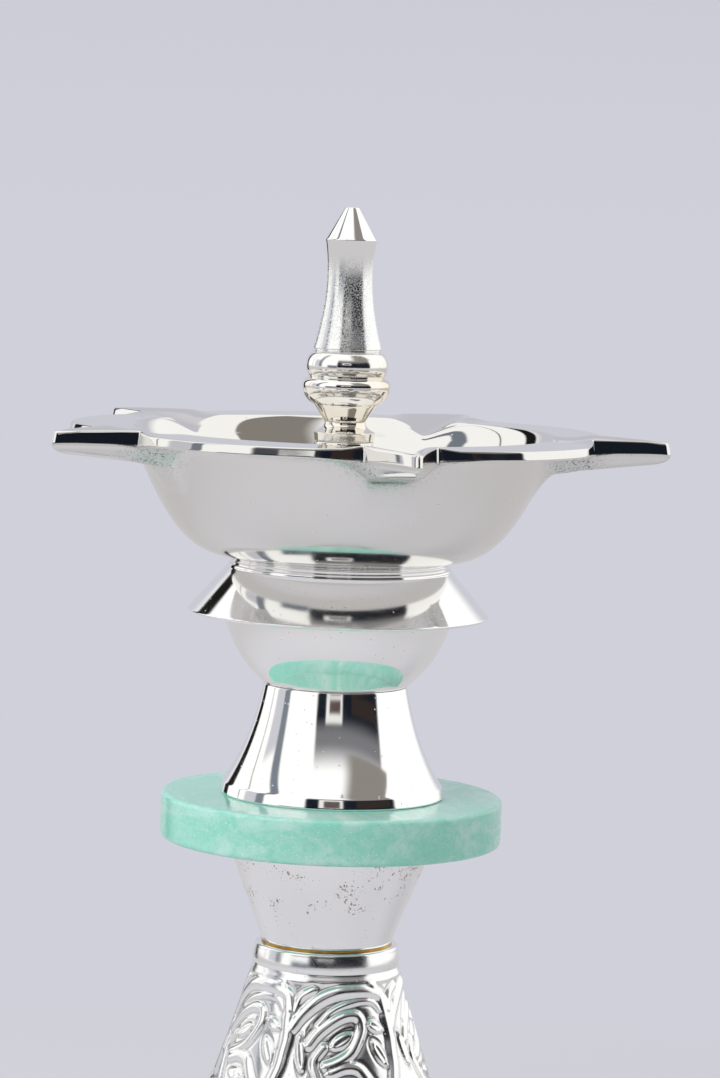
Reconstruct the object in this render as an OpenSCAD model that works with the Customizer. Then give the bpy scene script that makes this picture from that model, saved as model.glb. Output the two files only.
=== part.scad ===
// Standing oil lamp: a cast bowl with five wick spouts on a turned stem that holds a stone disc.
// Millimetres. The origin is on the lamp's axis at table level, +Z is up, and one spout points along -Y.

/* [Foot ring] */
// Height of the ledge that the pedestal stands on
foot_ledge_h = 5; // [3:0.5:8]
// Height of the outer bead above the ledge
foot_bead_h = 2.4; // [1:0.2:4]
// Width of the outer bead beyond the pedestal's edge
foot_bead_w = 3.5; // [2:0.5:6]
// Width of the ledge inside the pedestal's wall
foot_inset = 2; // [1:0.5:4]

/* [Pedestal] */
// Height of the pedestal's flat top above the table
pedestal_h = 93.5; // [85:0.5:105]
// Outer radius of the plain neck band
neck_r = 16.2; // [15.5:0.1:18]
// Height of the plain neck band
neck_band_h = 5; // [3:0.5:8]
// Radius of the bell at its lower edge
skirt_r = 52; // [46:0.5:58]
// Thickness of the embossed wall, measured level
pedestal_wall = 1.6; // [1.2:0.1:2.4]
// Thickness of the flat top
pedestal_top_t = 3; // [2:0.5:5]
// Height of the embossed strokes above the bell, measured level
stroke_h = 0.45; // [0.2:0.05:0.6]
// Width of the embossed strokes
stroke_w = 2.2; // [1.6:0.1:2.6]

/* [Cone cup and seat washer] */
// Thickness of the bare brass washer under the cone cup
seat_washer_t = 0.5; // [0.3:0.1:1]
// Radius of the cone cup at its foot
cone_foot_r = 14.65; // [13:0.1:15.4]
// Radius of the cone cup at its rim
cone_rim_r = 22.9; // [20:0.1:26]
// Height of the cone cup
cone_h = 22.9; // [18:0.1:28]
// How far the cone cup's side swells out of straight
cone_swell = 0.45; // [0:0.05:1]

/* [Stone disc] */
// Radius of the stone disc
stone_r = 38.2; // [32:0.1:44]
// Thickness of the stone disc
stone_t = 10.1; // [7:0.1:14]
// Radius of the disc's softened edges
stone_edge_r = 0.9; // [0.3:0.1:2]
// Radial slack of the stone's drilled hole round the rod
stone_slack = 0.6; // [0.3:0.1:1.2]

/* [Bell collar] */
// Height of the bell collar
bell_h = 24.8; // [20:0.1:30]
// Radius of the bell collar at its widest
bell_rim_r = 25.1; // [22:0.1:28]
// Height of the small lip under the widest point
bell_lip_h = 1.2; // [0.6:0.1:2]
// Radius of the bell collar at its top
bell_top_r = 15.7; // [14.5:0.1:18]

/* [Knop cup] */
// Radius of the half-round knop
knop_r = 26; // [24:0.1:27]
// Depth of the knop from its rim to its flat foot
knop_h = 20.7; // [18:0.1:22]

/* [Spun walls] */
// Wall of the cone cup, bell collar and knop cup
spun_wall = 1.2; // [0.8:0.1:1.8]
// Thickness of their flat ends, where the rod passes
spun_end_t = 2.5; // [1.5:0.1:4]

/* [Skirt collar] */
// Height from the knop's rim to the bowl's underside
skirt_gap_h = 8; // [6:0.1:12]
// Radius of the collar where it meets the bowl
collar_top_r = 26.6; // [25:0.1:29]
// Radius of the bead at the collar's waist
collar_bead_r = 25.1; // [24:0.1:26.5]
// Height from the bowl's underside to the bead
collar_bead_drop = 2.4; // [1.8:0.1:3.2]
// Radius of the cone's lower edge
collar_edge_r = 33.6; // [31:0.1:37]
// Height from the bowl's underside to the cone's lower edge
collar_h = 12.9; // [11:0.1:15]
// Wall of the collar, measured level
collar_wall = 1.5; // [1:0.1:2]

/* [Bowl] */
// Height of the bowl from its underside to its flat rim
bowl_h = 28.2; // [25:0.1:32]
// Thickness of the bowl's floor
bowl_floor_t = 2.2; // [1.6:0.1:3]
// Thickness of the bowl's wall, measured level
bowl_wall = 2.4; // [1.8:0.1:3]
// Inner radius of the rim
rim_r = 46.6; // [44:0.1:49]
// Width of the flare from the inner wall out to the rim
flare_w = 2.6; // [2:0.1:3.4]
// Height of the flare under the rim
flare_h = 4.7; // [4:0.1:6]
// Reach of the flange's round lobes between the spouts
lobe_reach = 61.4; // [59:0.1:64]
// Radius of one lobe
lobe_r = 36; // [33:0.5:40]
// Thickness of the flange's edge
flange_t = 1.8; // [1.2:0.1:2.4]
// Radius of the post in the bowl's middle, under the finial
post_r = 6.6; // [6:0.1:8]
// Height of the post's top above the bowl's underside
post_h = 25.8; // [22:0.1:32]
// Radius of the boss under the bowl
boss_r = 8; // [7:0.1:10]

/* [Spouts] */
// Number of spouts
spout_count = 5; // [3:1:7]
// Radius of the circle through the spout tips
tip_r = 72.5; // [69:0.5:76]
// Distance of a spout's root from the axis
spout_root_x = 55.4; // [53:0.1:58]
// Width of a spout at its root
spout_root_w = 16.2; // [14:0.1:18]
// Width of a spout at its blunt tip
spout_tip_w = 2.8; // [2:0.1:5]
// Height of a spout's rim above the flange
spout_rise = 0.8; // [0.4:0.1:1.2]
// Length of the slope from the flange up to a spout's rim
spout_ramp = 6; // [4:0.5:8]
// Height of a spout's upright side
spout_side_h = 3.4; // [2.8:0.1:3.8]
// Angle of the flanks under the upright sides
spout_flank_a = 50; // [46:1:60]
// Depth of a spout at its root
keel_root_d = 7; // [6.4:0.1:7.8]
// Depth of a spout at its tip, before the nose is rounded
keel_tip_d = 5.3; // [4.8:0.1:5.8]
// Radius of the turned-up nose, seen from the side
nose_r = 2; // [1:0.5:3]
// Width of the wick channel at the bowl's rim
channel_w = 12.6; // [10:0.1:13]
// Depth of the wick channel at the bowl's rim
channel_root_d = 4.5; // [3.5:0.1:4.8]
// Depth of the wick channel at the tip
channel_tip_d = 0.6; // [0.4:0.1:1]
// Radius of the wick channel's rounded bottom
channel_r = 2; // [1:0.5:3]

/* [Finial] */
// Height of the finial above the post
finial_h = 51.8; // [44:0.1:60]
// Radius of the finial's foot
finial_foot_r = 6.8; // [6:0.1:8]
// Height of the foot up to its edge
finial_foot_h = 2; // [1.5:0.1:3]
// Radius of the narrow neck over the foot
finial_neck_r = 4.55; // [4.2:0.05:5.2]
// Height of the narrow neck
finial_neck_z = 4.4; // [3.6:0.1:5]
// Radius of the lower ring, the widest part
ring_low_r = 9.8; // [9:0.1:11]
// Height of the lower ring's middle
ring_low_z = 12.4; // [11.5:0.1:13]
// Radius of the upper ring
ring_high_r = 9; // [8.4:0.1:10]
// Height of the upper ring's middle
ring_high_z = 17.2; // [16.6:0.1:18]
// Radius of the waist's foot, over the rings
waist_foot_r = 7.7; // [7:0.1:8.2]
// Height of the waist's foot
waist_foot_z = 20.6; // [20:0.1:22]
// Radius of the waist at its narrowest
waist_r = 4.95; // [4.2:0.05:5.5]
// Radius of the ridge under the point
ridge_r = 5.8; // [5.6:0.05:6.6]
// Height of the point above the ridge
point_h = 7.1; // [5:0.1:9]
// Radius of the point's flat end
point_r = 1.55; // [0.8:0.05:2.2]

/* [Rod and fasteners] */
// Radius of the tie rod
rod_r = 4; // [3:0.1:4.2]
// Length of the rod inside the bowl's boss
rod_grip = 17; // [10:0.5:20]
// Length of rod left free below the lower nut
rod_tail = 3; // [1:0.5:6]
// Width of the nuts across their flats
nut_w = 13; // [12:0.5:14.5]
// Height of the nuts
nut_h = 6.5; // [4:0.5:8]
// Outer radius of the flat washers
washer_r = 8; // [7.5:0.1:10]
// Thickness of the flat washers
washer_t = 1.6; // [1:0.1:2.5]
// Outer radius of the spring washer
spring_r = 7; // [6.4:0.1:7.4]
// Thickness of the spring washer
spring_t = 2; // [1.4:0.1:2.6]
// Width of the spring washer's split
spring_split = 1.2; // [0.6:0.1:2]
// Radius of the finial's stud
stud_r = 3; // [2:0.1:3.2]
// Length of the stud in the post, and again in the finial
stud_grip = 8; // [5:0.5:10]
// Radial clearance of a thread, drawn as a plain cylinder
thread_clear = 0.05; // [0.02:0.01:0.08]
// Radial clearance of a plain hole round the rod
hole_clear = 0.25; // [0.15:0.05:0.5]
// Clearance past the end of a rod or stud in its blind hole
end_clear = 1; // [0.5:0.1:2]

/* [Hidden] */

$fn = 96;

// Levels of the stack, from the table up
cone_z = pedestal_h + seat_washer_t;
stone_z = cone_z + cone_h;
bell_z = stone_z + stone_t;
knop_z = bell_z + bell_h;
upper_washer_z = knop_z + spun_end_t;
upper_nut_z = upper_washer_z + washer_t;
boss_z = upper_nut_z + nut_h;
bowl_z = knop_z + knop_h + skirt_gap_h;
post_z = bowl_z + post_h;

// Bands of the embossed pattern, from the neck down. Each has its ends as length over radius below the
// neck, the number of its scrolls, the way they run and the direction of the first one's stem
stroke_bands = [[0, 1.27, 5, 1, -126.5], [1.27, 1.905, 10, -1, -108.5], [1.905, 2.54, 10, 1, -126.5]];

// Routes of the strokes of one scroll: angle from its stem, where five scrolls go round, and length over
// radius below the band's upper end
stem_route = [[-0.7, 0.46], [0, 0.75], [-2, 1.015], [-6.8, 1.28]];
arch_route = [[9, 0.41], [20.2, 0.23], [40, 0.11], [60.9, 0.13], [70, 0.25]];
loop_route = [[15.1, 0.75], [29.6, 0.49], [39.1, 0.41], [47.8, 0.42], [50.2, 0.545], [41.2, 0.835],
              [26.3, 0.967]];

// Levels of the fasteners under the pedestal's top
lower_washer_z = pedestal_h - pedestal_top_t - washer_t;
spring_z = lower_washer_z - spring_t;
lower_nut_z = spring_z - nut_h;
rod_low_z = lower_nut_z - rod_tail;
rod_high_z = boss_z + rod_grip;

// Shared holes
rod_hole_r = rod_r + hole_clear;
rod_thread_r = rod_r + thread_clear;
stud_thread_r = stud_r + thread_clear;

// How far a cutting shape runs past what it cuts
over = 5;

// Points on a cubic curve from a to d, pulled towards b and c
function curve(a, b, c, d, n = 12) =
    [for (i = [0:n]) let (t = i / n, s = 1 - t) s*s*s*a + 3*s*s*t*b + 3*s*t*t*c + t*t*t*d];

// Points on an arc about c from angle a0 to a1
function arc(c, r, a0, a1, n = 10) =
    [for (i = [0:n]) let (a = a0 + (a1 - a0) * i / n) c + r * [cos(a), sin(a)]];

// The same outline moved inwards by w, from its last point to its first
function inner(points, w) =
    [for (i = [len(points) - 1:-1:0]) [points[i][0] - w, points[i][1]]];

// A ring turned about the lamp's axis
module turned(points) {
    rotate_extrude()
        polygon(points);
}

// A plain hole along the lamp's axis
module bore(r, z0, z1) {
    translate([0, 0, z0])
        cylinder(r = r, h = z1 - z0);
}

// A round bar along the lamp's axis with chamfered ends
module bar(r, z0, z1) {
    chamfer = r / 4;
    turned([[0, z0], [r - chamfer, z0], [r, z0 + chamfer],
            [r, z1 - chamfer], [r - chamfer, z1], [0, z1]]);
}

// Turned ring under the pedestal: a flat base, a ledge and a rounded outer bead
module foot_ring() {
    ledge_in = skirt_r - pedestal_wall - foot_inset;
    bead_in = skirt_r + hole_clear;
    bead_out = skirt_r + foot_bead_w;
    bead_top = foot_ledge_h + foot_bead_h;
    base_r = bead_out - foot_bead_w / 3;
    color("silver")
        turned(concat(
            [[ledge_in, 0]],
            curve([base_r, 0], [bead_out, 0], [bead_out, bead_top], [bead_in, bead_top]),
            [[bead_in, foot_ledge_h], [ledge_in, foot_ledge_h]]));
}

// The bell's outer line, from its lower edge up to the neck band
function bell_line() =
    let (neck_low = pedestal_h - neck_band_h, shoulder = 0.7)
    curve([skirt_r, foot_ledge_h], [skirt_r - 19, foot_ledge_h + 35],
          [neck_r + 3, neck_low - 16], [neck_r + shoulder, neck_low - 1.3], 20);

// Length over radius along a line, from its last point back to point i
function spread(line, i) =
    i == len(line) - 1 ? 0 :
    2 * norm(line[i + 1] - line[i]) / (line[i + 1][0] + line[i][0]) + spread(line, i + 1);

// The bell's radius and height at a length over radius below the neck
function bell_at(down) =
    let (line = bell_line(), last = len(line) - 1)
    [for (k = [0, 1]) lookup(down, [for (i = [0:last]) [spread(line, i), line[i][k]]])];

// The outline of a stroke of one band on a plane, seen from the direction a
function stroke(route, band, a) =
    let (zoom = band[2] / 5, last = len(route) - 1,
         line = [for (p = route) [band[3] * p[0] / zoom * PI / 180, band[0] + p[1] / zoom]],
         side = [for (i = [0:last])
                     let (t = line[min(i + 1, last)] - line[max(i - 1, 0)])
                     [-t[1], t[0]] / norm(t) * stroke_w / 2 / bell_at(line[i][1])[0]],
         points = concat([for (i = [0:last]) line[i] + side[i]],
                         [for (i = [last:-1:0]) line[i] - side[i]]))
    [for (p = points) let (at = bell_at(p[1])) [at[0] * sin(p[0] * 180 / PI - a), at[1]]];

// One stroke, repeated round a band: a prism through the bell's wall, cut off at the strokes' height
module stroke_ring(route, band) {
    middle = band[3] * (route[0][0] + route[len(route) - 1][0]) / 2 / (band[2] / 5);
    inset = 0.02;
    line = [for (t = [0, 0.5, 1]) bell_at((band[0] + inset) * (1 - t) + (band[1] - inset) * t)];
    for (k = [0:band[2] - 1])
        rotate(band[4] + middle + k * 360 / band[2])
            intersection() {
                turned(concat([for (p = line) p + [stroke_h, 0]], inner(line, pedestal_wall / 2)));
                rotate([90, 0, 90])
                    linear_extrude(skirt_r + over)
                        polygon(stroke(route, band, middle));
            }
}

// Bell-shaped pedestal, open underneath, with a plain neck band, a drilled flat top and embossed strokes
module pedestal() {
    neck_low = pedestal_h - neck_band_h;
    neck_edge = 0.8;
    bell = bell_line();
    band = concat([[neck_r, neck_low]],
                  arc([neck_r - neck_edge, pedestal_h - neck_edge], neck_edge, 0, 90, 6));
    ceiling = pedestal_h - pedestal_top_t;
    color("silver") {
        turned(concat(
            bell,
            band,
            [[rod_hole_r, pedestal_h], [rod_hole_r, ceiling], [neck_r - pedestal_wall, ceiling],
             [neck_r - pedestal_wall, neck_low]],
            inner(bell, pedestal_wall)));
        for (b = stroke_bands) {
            stroke_ring(stem_route, b);
            stroke_ring(arch_route, b);
        }
        stroke_ring(loop_route, stroke_bands[0]);
    }
}

// Thin bare brass washer between the pedestal and the cone cup
module seat_washer() {
    color("goldenrod")
        difference() {
            bore(cone_foot_r, pedestal_h, cone_z);
            bore(rod_hole_r, pedestal_h - over, cone_z + over);
        }
}

// Spun cup that opens upwards and carries the stone on its rim
module cone_cup() {
    middle_r = (cone_foot_r + cone_rim_r) / 2 + cone_swell * 4 / 3;
    side = curve([cone_foot_r, 0], [(cone_foot_r + middle_r) / 2, cone_h / 3],
                 [(cone_rim_r + middle_r) / 2, cone_h * 2 / 3], [cone_rim_r, cone_h]);
    inside = [for (p = inner(side, spun_wall)) if (p[1] > spun_end_t) p];
    color("silver")
        translate([0, 0, cone_z])
            turned(concat(
                side,
                inside,
                [[cone_foot_r - spun_wall, spun_end_t], [rod_hole_r, spun_end_t], [rod_hole_r, 0]]));
}

// Polished stone disc with softened edges and a drilled hole
module stone_disc() {
    hole_r = rod_r + stone_slack;
    edge_x = stone_r - stone_edge_r;
    color("mediumaquamarine")
        translate([0, 0, stone_z])
            turned(concat(
                [[hole_r, 0]],
                arc([edge_x, stone_edge_r], stone_edge_r, -90, 0, 6),
                arc([edge_x, stone_t - stone_edge_r], stone_edge_r, 0, 90, 6),
                [[hole_r, stone_t]]));
}

// Spun bell that opens downwards and presses on the stone
module bell_collar() {
    lip_in = bell_lip_h / 2;
    side = curve([bell_rim_r, bell_lip_h],
                 [bell_rim_r - 0.5, bell_lip_h + (bell_h - bell_lip_h) * 0.2],
                 [bell_top_r + 1.8, bell_lip_h + (bell_h - bell_lip_h) * 0.54],
                 [bell_top_r, bell_h]);
    inside = [for (p = inner(side, spun_wall)) if (p[1] < bell_h - spun_end_t) p];
    color("silver")
        translate([0, 0, bell_z])
            turned(concat(
                [[bell_rim_r - lip_in, 0]],
                side,
                [[rod_hole_r, bell_h], [rod_hole_r, bell_h - spun_end_t],
                 [bell_top_r - spun_wall, bell_h - spun_end_t]],
                inside,
                [[bell_rim_r - lip_in - spun_wall, 0]]));
}

// Half-round cup with a flat drilled foot
module knop_cup() {
    inner_r = knop_r - spun_wall;
    centre = [0, knop_h];
    foot_a = asin(knop_h / knop_r);
    floor_a = asin((knop_h - spun_end_t) / inner_r);
    color("silver")
        translate([0, 0, knop_z])
            turned(concat(
                arc(centre, knop_r, -foot_a, 0, 16),
                arc(centre, inner_r, 0, -floor_a, 16),
                [[rod_hole_r, spun_end_t], [rod_hole_r, 0]]));
}

// Threaded rod that clamps the stem and takes the bowl on its upper end
module tie_rod() {
    color("lightgray")
        bar(rod_r, rod_low_z, rod_high_z);
}

// A hexagon nut with its corners turned down at both faces
module nut(z) {
    corner_r = nut_w / 2 / cos(30);
    chamfer = corner_r - nut_w / 2;
    color("lightgray")
        translate([0, 0, z])
            difference() {
                intersection() {
                    cylinder(r = corner_r, h = nut_h, $fn = 6);
                    bar_edge(nut_w / 2, corner_r, chamfer / 2, nut_h);
                }
                bore(rod_thread_r, -over, nut_h + over);
            }
}

// A drum whose ends are coned down from r1 to r0
module bar_edge(r0, r1, rise, h) {
    turned([[0, 0], [r0, 0], [r1, rise], [r1, h - rise], [r0, h], [0, h]]);
}

// The two nuts on the rod: one in the knop, one inside the pedestal
module hex_nuts() {
    for (z = [lower_nut_z, upper_nut_z])
        nut(z);
}

// A flat washer with its underside at z
module washer(z) {
    color("lightgray")
        difference() {
            bore(washer_r, z, z + washer_t);
            bore(rod_hole_r, z - over, z + washer_t + over);
        }
}

// The two flat washers, one with each nut
module flat_washers() {
    for (z = [lower_washer_z, upper_washer_z])
        washer(z);
}

// Split spring washer between the lower nut and its flat washer
module spring_washer() {
    color("lightgray")
        difference() {
            bore(spring_r, spring_z, spring_z + spring_t);
            bore(rod_hole_r, spring_z - over, spring_z + spring_t + over);
            translate([0, -spring_split / 2, spring_z - over])
                cube([spring_r + over, spring_split, spring_t + 2 * over]);
        }
}

// Collar soldered under the bowl: a hollowed neck, a bead and a flared cone
module skirt_collar() {
    bead = 0.7;
    neck_in = collar_bead_r - bead - 0.2;
    bead_top = -collar_bead_drop + bead;
    color("silver")
        translate([0, 0, bowl_z])
            turned(concat(
                curve([collar_top_r, 0], [collar_top_r - 1, -0.2],
                      [neck_in, -0.4], [neck_in, bead_top], 8),
                arc([collar_bead_r - bead, -collar_bead_drop], bead, 80, -20, 8),
                [[collar_edge_r, -collar_h + 0.5], [collar_edge_r - 0.4, -collar_h],
                 [collar_edge_r - collar_wall, -collar_h],
                 [neck_in - collar_wall, -collar_bead_drop - bead],
                 [neck_in - collar_wall, 0]]));
}

// Outer form of the bowl, solid up to its flat rim, with the lobes of the flange
module bowl_form() {
    underside = bowl_h - flange_t;
    sunk = flange_t / 3;
    wall_r = rim_r - flare_w + bowl_wall;
    wall_z = bowl_h - flare_h;
    fillet = flange_t + 2.5;
    turned(concat(
        [[0, 0]],
        curve([collar_top_r, 0], [collar_top_r + 11, 0.3],
              [wall_r - 7.2, bowl_h * 0.3], [wall_r, wall_z], 16),
        curve([wall_r, wall_z], [wall_r + 1.1, wall_z + 2.3], [wall_r + fillet / 2, underside - sunk],
              [wall_r + fillet, underside + sunk], 6),
        [[0, underside + sunk]]));
    translate([0, 0, underside])
        linear_extrude(flange_t)
            rotate(180 / spout_count)
                at_spouts()
                    translate([lobe_reach - lobe_r, 0])
                        circle(r = lobe_r);
}

// The hollow of the bowl, which flares into the flange
module bowl_hollow() {
    wall_r = rim_r - flare_w;
    wall_z = bowl_h - flare_h;
    floor_r = collar_top_r - bowl_wall;
    turned(concat(
        [[0, bowl_floor_t]],
        curve([floor_r, bowl_floor_t], [floor_r + 11.2, bowl_floor_t + 0.2],
              [wall_r - 6.8, bowl_h * 0.36], [wall_r, wall_z], 16),
        curve([wall_r, wall_z], [wall_r + 1, wall_z + 2.4],
              [rim_r - 0.8, bowl_h - 0.7], [rim_r, bowl_h], 6),
        [[rim_r, bowl_h + over], [0, bowl_h + over]]));
}

// One spout along +X: a pointed tongue in plan with upright sides, sloping flanks under them, and a keel
// that climbs to a turned-up nose
module spout() {
    start = rim_r - 2;
    top = bowl_h + spout_rise;
    root_y = spout_root_w / 2;
    tip_y = spout_tip_w / 2;
    side_a = atan2(root_y - tip_y, tip_r - spout_root_x);
    keel_a = atan2(keel_root_d - keel_tip_d, tip_r - spout_root_x);
    keel_start_d = keel_tip_d + (tip_r - start) * tan(keel_a);
    nose_d = keel_tip_d + nose_r * (tan(keel_a) - 1 / cos(keel_a));
    deep = 2 * keel_root_d;
    difference() {
        intersection() {
            translate([0, 0, top - deep])
                linear_extrude(deep)
                    polygon([[start, -root_y], [spout_root_x, -root_y], [tip_r, -tip_y],
                             [tip_r, tip_y], [spout_root_x, root_y], [start, root_y]]);
            rotate([90, 0, 0])
                translate([0, 0, -spout_root_w])
                    linear_extrude(2 * spout_root_w)
                        polygon(concat(
                            [[start, top - keel_start_d]],
                            arc([tip_r - nose_r, top - nose_d], nose_r, keel_a - 90, 0, 8),
                            [[tip_r, top], [spout_root_x, top], [spout_root_x - spout_ramp, bowl_h],
                             [start, bowl_h]]));
        }
        for (side = [0, 1], turn = [0, side_a])
            mirror([0, side, 0])
                translate([spout_root_x, root_y, top - spout_side_h])
                    rotate([0, 0, -turn])
                        rotate([spout_flank_a, 0, 0])
                            translate([-tip_r, -tip_r, -deep])
                                cube([2 * tip_r, 2 * tip_r, deep]);
    }
}

// Wick channel along +X: a rounded vee that climbs from the bowl's rim to the tip
module channel() {
    climb = channel_root_d + spout_rise - channel_tip_d;
    tilt = atan(climb / (tip_r - rim_r));
    flank_a = atan2(channel_root_d, channel_w / 2);
    wide = channel_w;
    high = wide * tan(flank_a) - channel_r * (1 / cos(flank_a) - 1);
    translate([rim_r, 0, bowl_h - channel_root_d])
        rotate([0, -tilt, 0])
            rotate([90, 0, 90])
                translate([0, 0, -over])
                    linear_extrude(tip_r - rim_r + 3 * over)
                        polygon(concat(
                            [[-wide, high]],
                            arc([0, channel_r], channel_r, -90 - flank_a, -90 + flank_a, 8),
                            [[wide, high]]));
}

// Repeats a shape along +X at every spout, the first along -Y
module at_spouts() {
    for (i = [0:spout_count - 1])
        rotate([0, 0, -90 + i * 360 / spout_count])
            children();
}

// Cast bowl with its spouts, the post that carries the finial and the boss that takes the rod
module bowl() {
    color("silver")
        difference() {
            union() {
                translate([0, 0, bowl_z])
                    difference() {
                        union() {
                            bowl_form();
                            at_spouts()
                                spout();
                        }
                        bowl_hollow();
                        at_spouts()
                            channel();
                    }
                bore(post_r, bowl_z + bowl_floor_t / 2, post_z);
                bore(boss_r, boss_z, bowl_z + bowl_floor_t / 2);
            }
            bore(rod_thread_r, boss_z - over, rod_high_z + end_clear);
            bore(stud_thread_r, post_z - stud_grip - end_clear, post_z + over);
        }
}

// Threaded stud that joins the finial to the post
module finial_stud() {
    color("lightgray")
        bar(stud_r, post_z - stud_grip, post_z + stud_grip);
}

// Turned finial: foot, neck, cup, two rings, a hollow-sided waist and a blunt point
module finial() {
    step = 0.4;
    cup_z = finial_neck_z + 3.8;
    cup_r = (finial_neck_r + ring_low_r) / 2;
    groove_z = (ring_low_z + ring_high_z) / 2 - 0.6;
    ridge_z = finial_h - point_h;
    waist_h = ridge_z - waist_foot_z;
    color("silver")
        translate([0, 0, post_z])
            difference() {
                turned(concat(
                    [[0, 0], [finial_foot_r - 0.2, 0]],
                    curve([finial_foot_r, finial_foot_h], [finial_neck_r + 0.9, finial_foot_h + 0.6],
                          [finial_neck_r, finial_foot_h + 1.2], [finial_neck_r, finial_neck_z], 6),
                    [[cup_r - step, cup_z - step]],
                    curve([cup_r, cup_z], [ring_low_r - 1.2, cup_z + 0.5], [ring_low_r, ring_low_z - 2],
                          [ring_low_r, ring_low_z], 8),
                    curve([ring_low_r, ring_low_z], [ring_low_r, ring_low_z + 1],
                          [ring_low_r - 0.8, groove_z - 0.3], [ring_high_r - 0.7, groove_z], 6),
                    [[ring_high_r - 0.5, groove_z + 0.9]],
                    arc([ring_high_r - 0.9, ring_high_z - 0.6], 0.9, -30, 0, 3),
                    arc([ring_high_r - 1.4, ring_high_z + 0.8], 1.4, 0, 60, 6),
                    [[waist_foot_r - 0.5, waist_foot_z - 0.6]],
                    curve([waist_foot_r, waist_foot_z], [waist_r + 0.7, waist_foot_z + waist_h * 0.3],
                          [waist_r - 0.8, waist_foot_z + waist_h * 0.62], [ridge_r, ridge_z], 14),
                    [[point_r, finial_h], [0, finial_h]]));
                bore(stud_thread_r, -over, stud_grip + end_clear);
            }
}

foot_ring();
pedestal();
seat_washer();
cone_cup();
stone_disc();
bell_collar();
knop_cup();
tie_rod();
hex_nuts();
flat_washers();
spring_washer();
skirt_collar();
bowl();
finial_stud();
finial();
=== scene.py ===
"""Looks of a standing oil lamp: a cast five-spout bowl on a turned silver stem that holds a stone disc."""
import logging
import math
from collections.abc import Mapping
from dataclasses import dataclass, field
from enum import Enum

import bpy
import numpy as np
from bpy.types import Material, Node, NodeSocket, NodeTree, Object
from mathutils import Matrix, Vector


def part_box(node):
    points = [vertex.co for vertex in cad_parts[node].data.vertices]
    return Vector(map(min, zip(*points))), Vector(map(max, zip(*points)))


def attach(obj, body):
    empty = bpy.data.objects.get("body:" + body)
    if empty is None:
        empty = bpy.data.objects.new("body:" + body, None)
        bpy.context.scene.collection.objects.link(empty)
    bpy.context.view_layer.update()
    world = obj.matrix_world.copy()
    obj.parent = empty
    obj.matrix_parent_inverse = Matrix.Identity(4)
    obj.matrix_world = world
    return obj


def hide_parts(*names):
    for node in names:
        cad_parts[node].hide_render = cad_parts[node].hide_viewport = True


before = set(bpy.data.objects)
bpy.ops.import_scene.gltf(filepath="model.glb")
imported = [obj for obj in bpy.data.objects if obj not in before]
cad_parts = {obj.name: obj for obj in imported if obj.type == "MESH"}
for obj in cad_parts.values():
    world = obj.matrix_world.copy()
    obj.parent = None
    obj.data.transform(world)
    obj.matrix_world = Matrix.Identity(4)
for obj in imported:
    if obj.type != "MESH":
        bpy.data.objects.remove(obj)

LOG = logging.getLogger("oil_lamp")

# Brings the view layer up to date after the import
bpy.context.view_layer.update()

# One millimetre and one micrometre in the frame's metres
MM = 0.001
UM = 0.000001

# Height of the photograph in pixels
IMAGE_H = 1078

# Radius in millimetres of a row that closes on the axis
LEAST_R = 0.01


class Body(Enum):
    """The bodies that pieces ride on."""

    STEM = "stem"
    BOWL = "bowl"
    FINIAL = "finial"


class Slot(Enum):
    """The record's material slots."""

    POLISHED = "silver_polished"
    CAST = "silver_cast"
    EMBOSSED = "silver_embossed"
    BRASS = "bare_brass"
    STONE = "green_stone"
    STEEL = "zinc_steel"


# Small tools for colours, nodes, outlines and meshes


def srgb(code: str) -> tuple[float, float, float, float]:
    """Turns an sRGB hex colour into a linear one.

    Args:
        code: Six hex digits after a hash sign.

    Returns:
        Linear red, green, blue and an alpha of 1.
    """
    raw = np.array([int(code[i:i + 2], 16) for i in (1, 3, 5)]) / 255.0
    linear = np.where(raw <= 0.04045, raw / 12.92, ((raw + 0.055) / 1.055) ** 2.4)
    return (*linear.tolist(), 1.0)


def per_mm(size: float) -> float:
    """Gives the texture scale at which one cell of a pattern is so many millimetres wide."""
    return 1.0 / (size * MM)


def add(tree: NodeTree, kind: str, links: Mapping = {}, **settings: object) -> Node:
    """Adds a node with its settings, and its links or fixed input values.

    Args:
        tree: The node tree to add to.
        kind: The node's type name.
        links: Input name or number to an output socket, to a node for its first output, or to a value.
        **settings: Properties of the node.

    Returns:
        The new node.
    """
    node = tree.nodes.new(kind)
    for key, value in settings.items():
        setattr(node, key, value)
    for key, value in links.items():
        source = value.outputs[0] if isinstance(value, Node) else value
        if isinstance(source, NodeSocket):
            tree.links.new(source, node.inputs[key])
        else:
            node.inputs[key].default_value = source
    return node


def curve(a: tuple, b: tuple, c: tuple, d: tuple, count: int = 40) -> np.ndarray:
    """Gives points on a cubic curve from a to d that is pulled towards b and c.

    Args:
        a: First point.
        b: First pull.
        c: Second pull.
        d: Last point.
        count: Number of points.

    Returns:
        An array of count points.
    """
    t = np.linspace(0.0, 1.0, count)[:, None]
    s = 1.0 - t
    corners = (np.asarray(p, float) for p in (a, b, c, d))
    weights = (s * s * s, 3 * s * s * t, 3 * s * t * t, t * t * t)
    return sum(weight * corner for weight, corner in zip(weights, corners))


def arc(centre: tuple, radius: float, start: float, end: float, count: int = 24) -> np.ndarray:
    """Gives points on an arc about a centre, between two angles in degrees.

    Args:
        centre: The arc's centre.
        radius: Its radius.
        start: First angle.
        end: Last angle.
        count: Number of points.

    Returns:
        An array of count points.
    """
    angle = np.radians(np.linspace(start, end, count))
    return np.asarray(centre, float) + radius * np.stack([np.cos(angle), np.sin(angle)], axis=1)


def chain(*parts: object) -> np.ndarray:
    """Joins points and runs of points into one outline."""
    return np.vstack([np.atleast_2d(np.asarray(part, float)) for part in parts])


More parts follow.
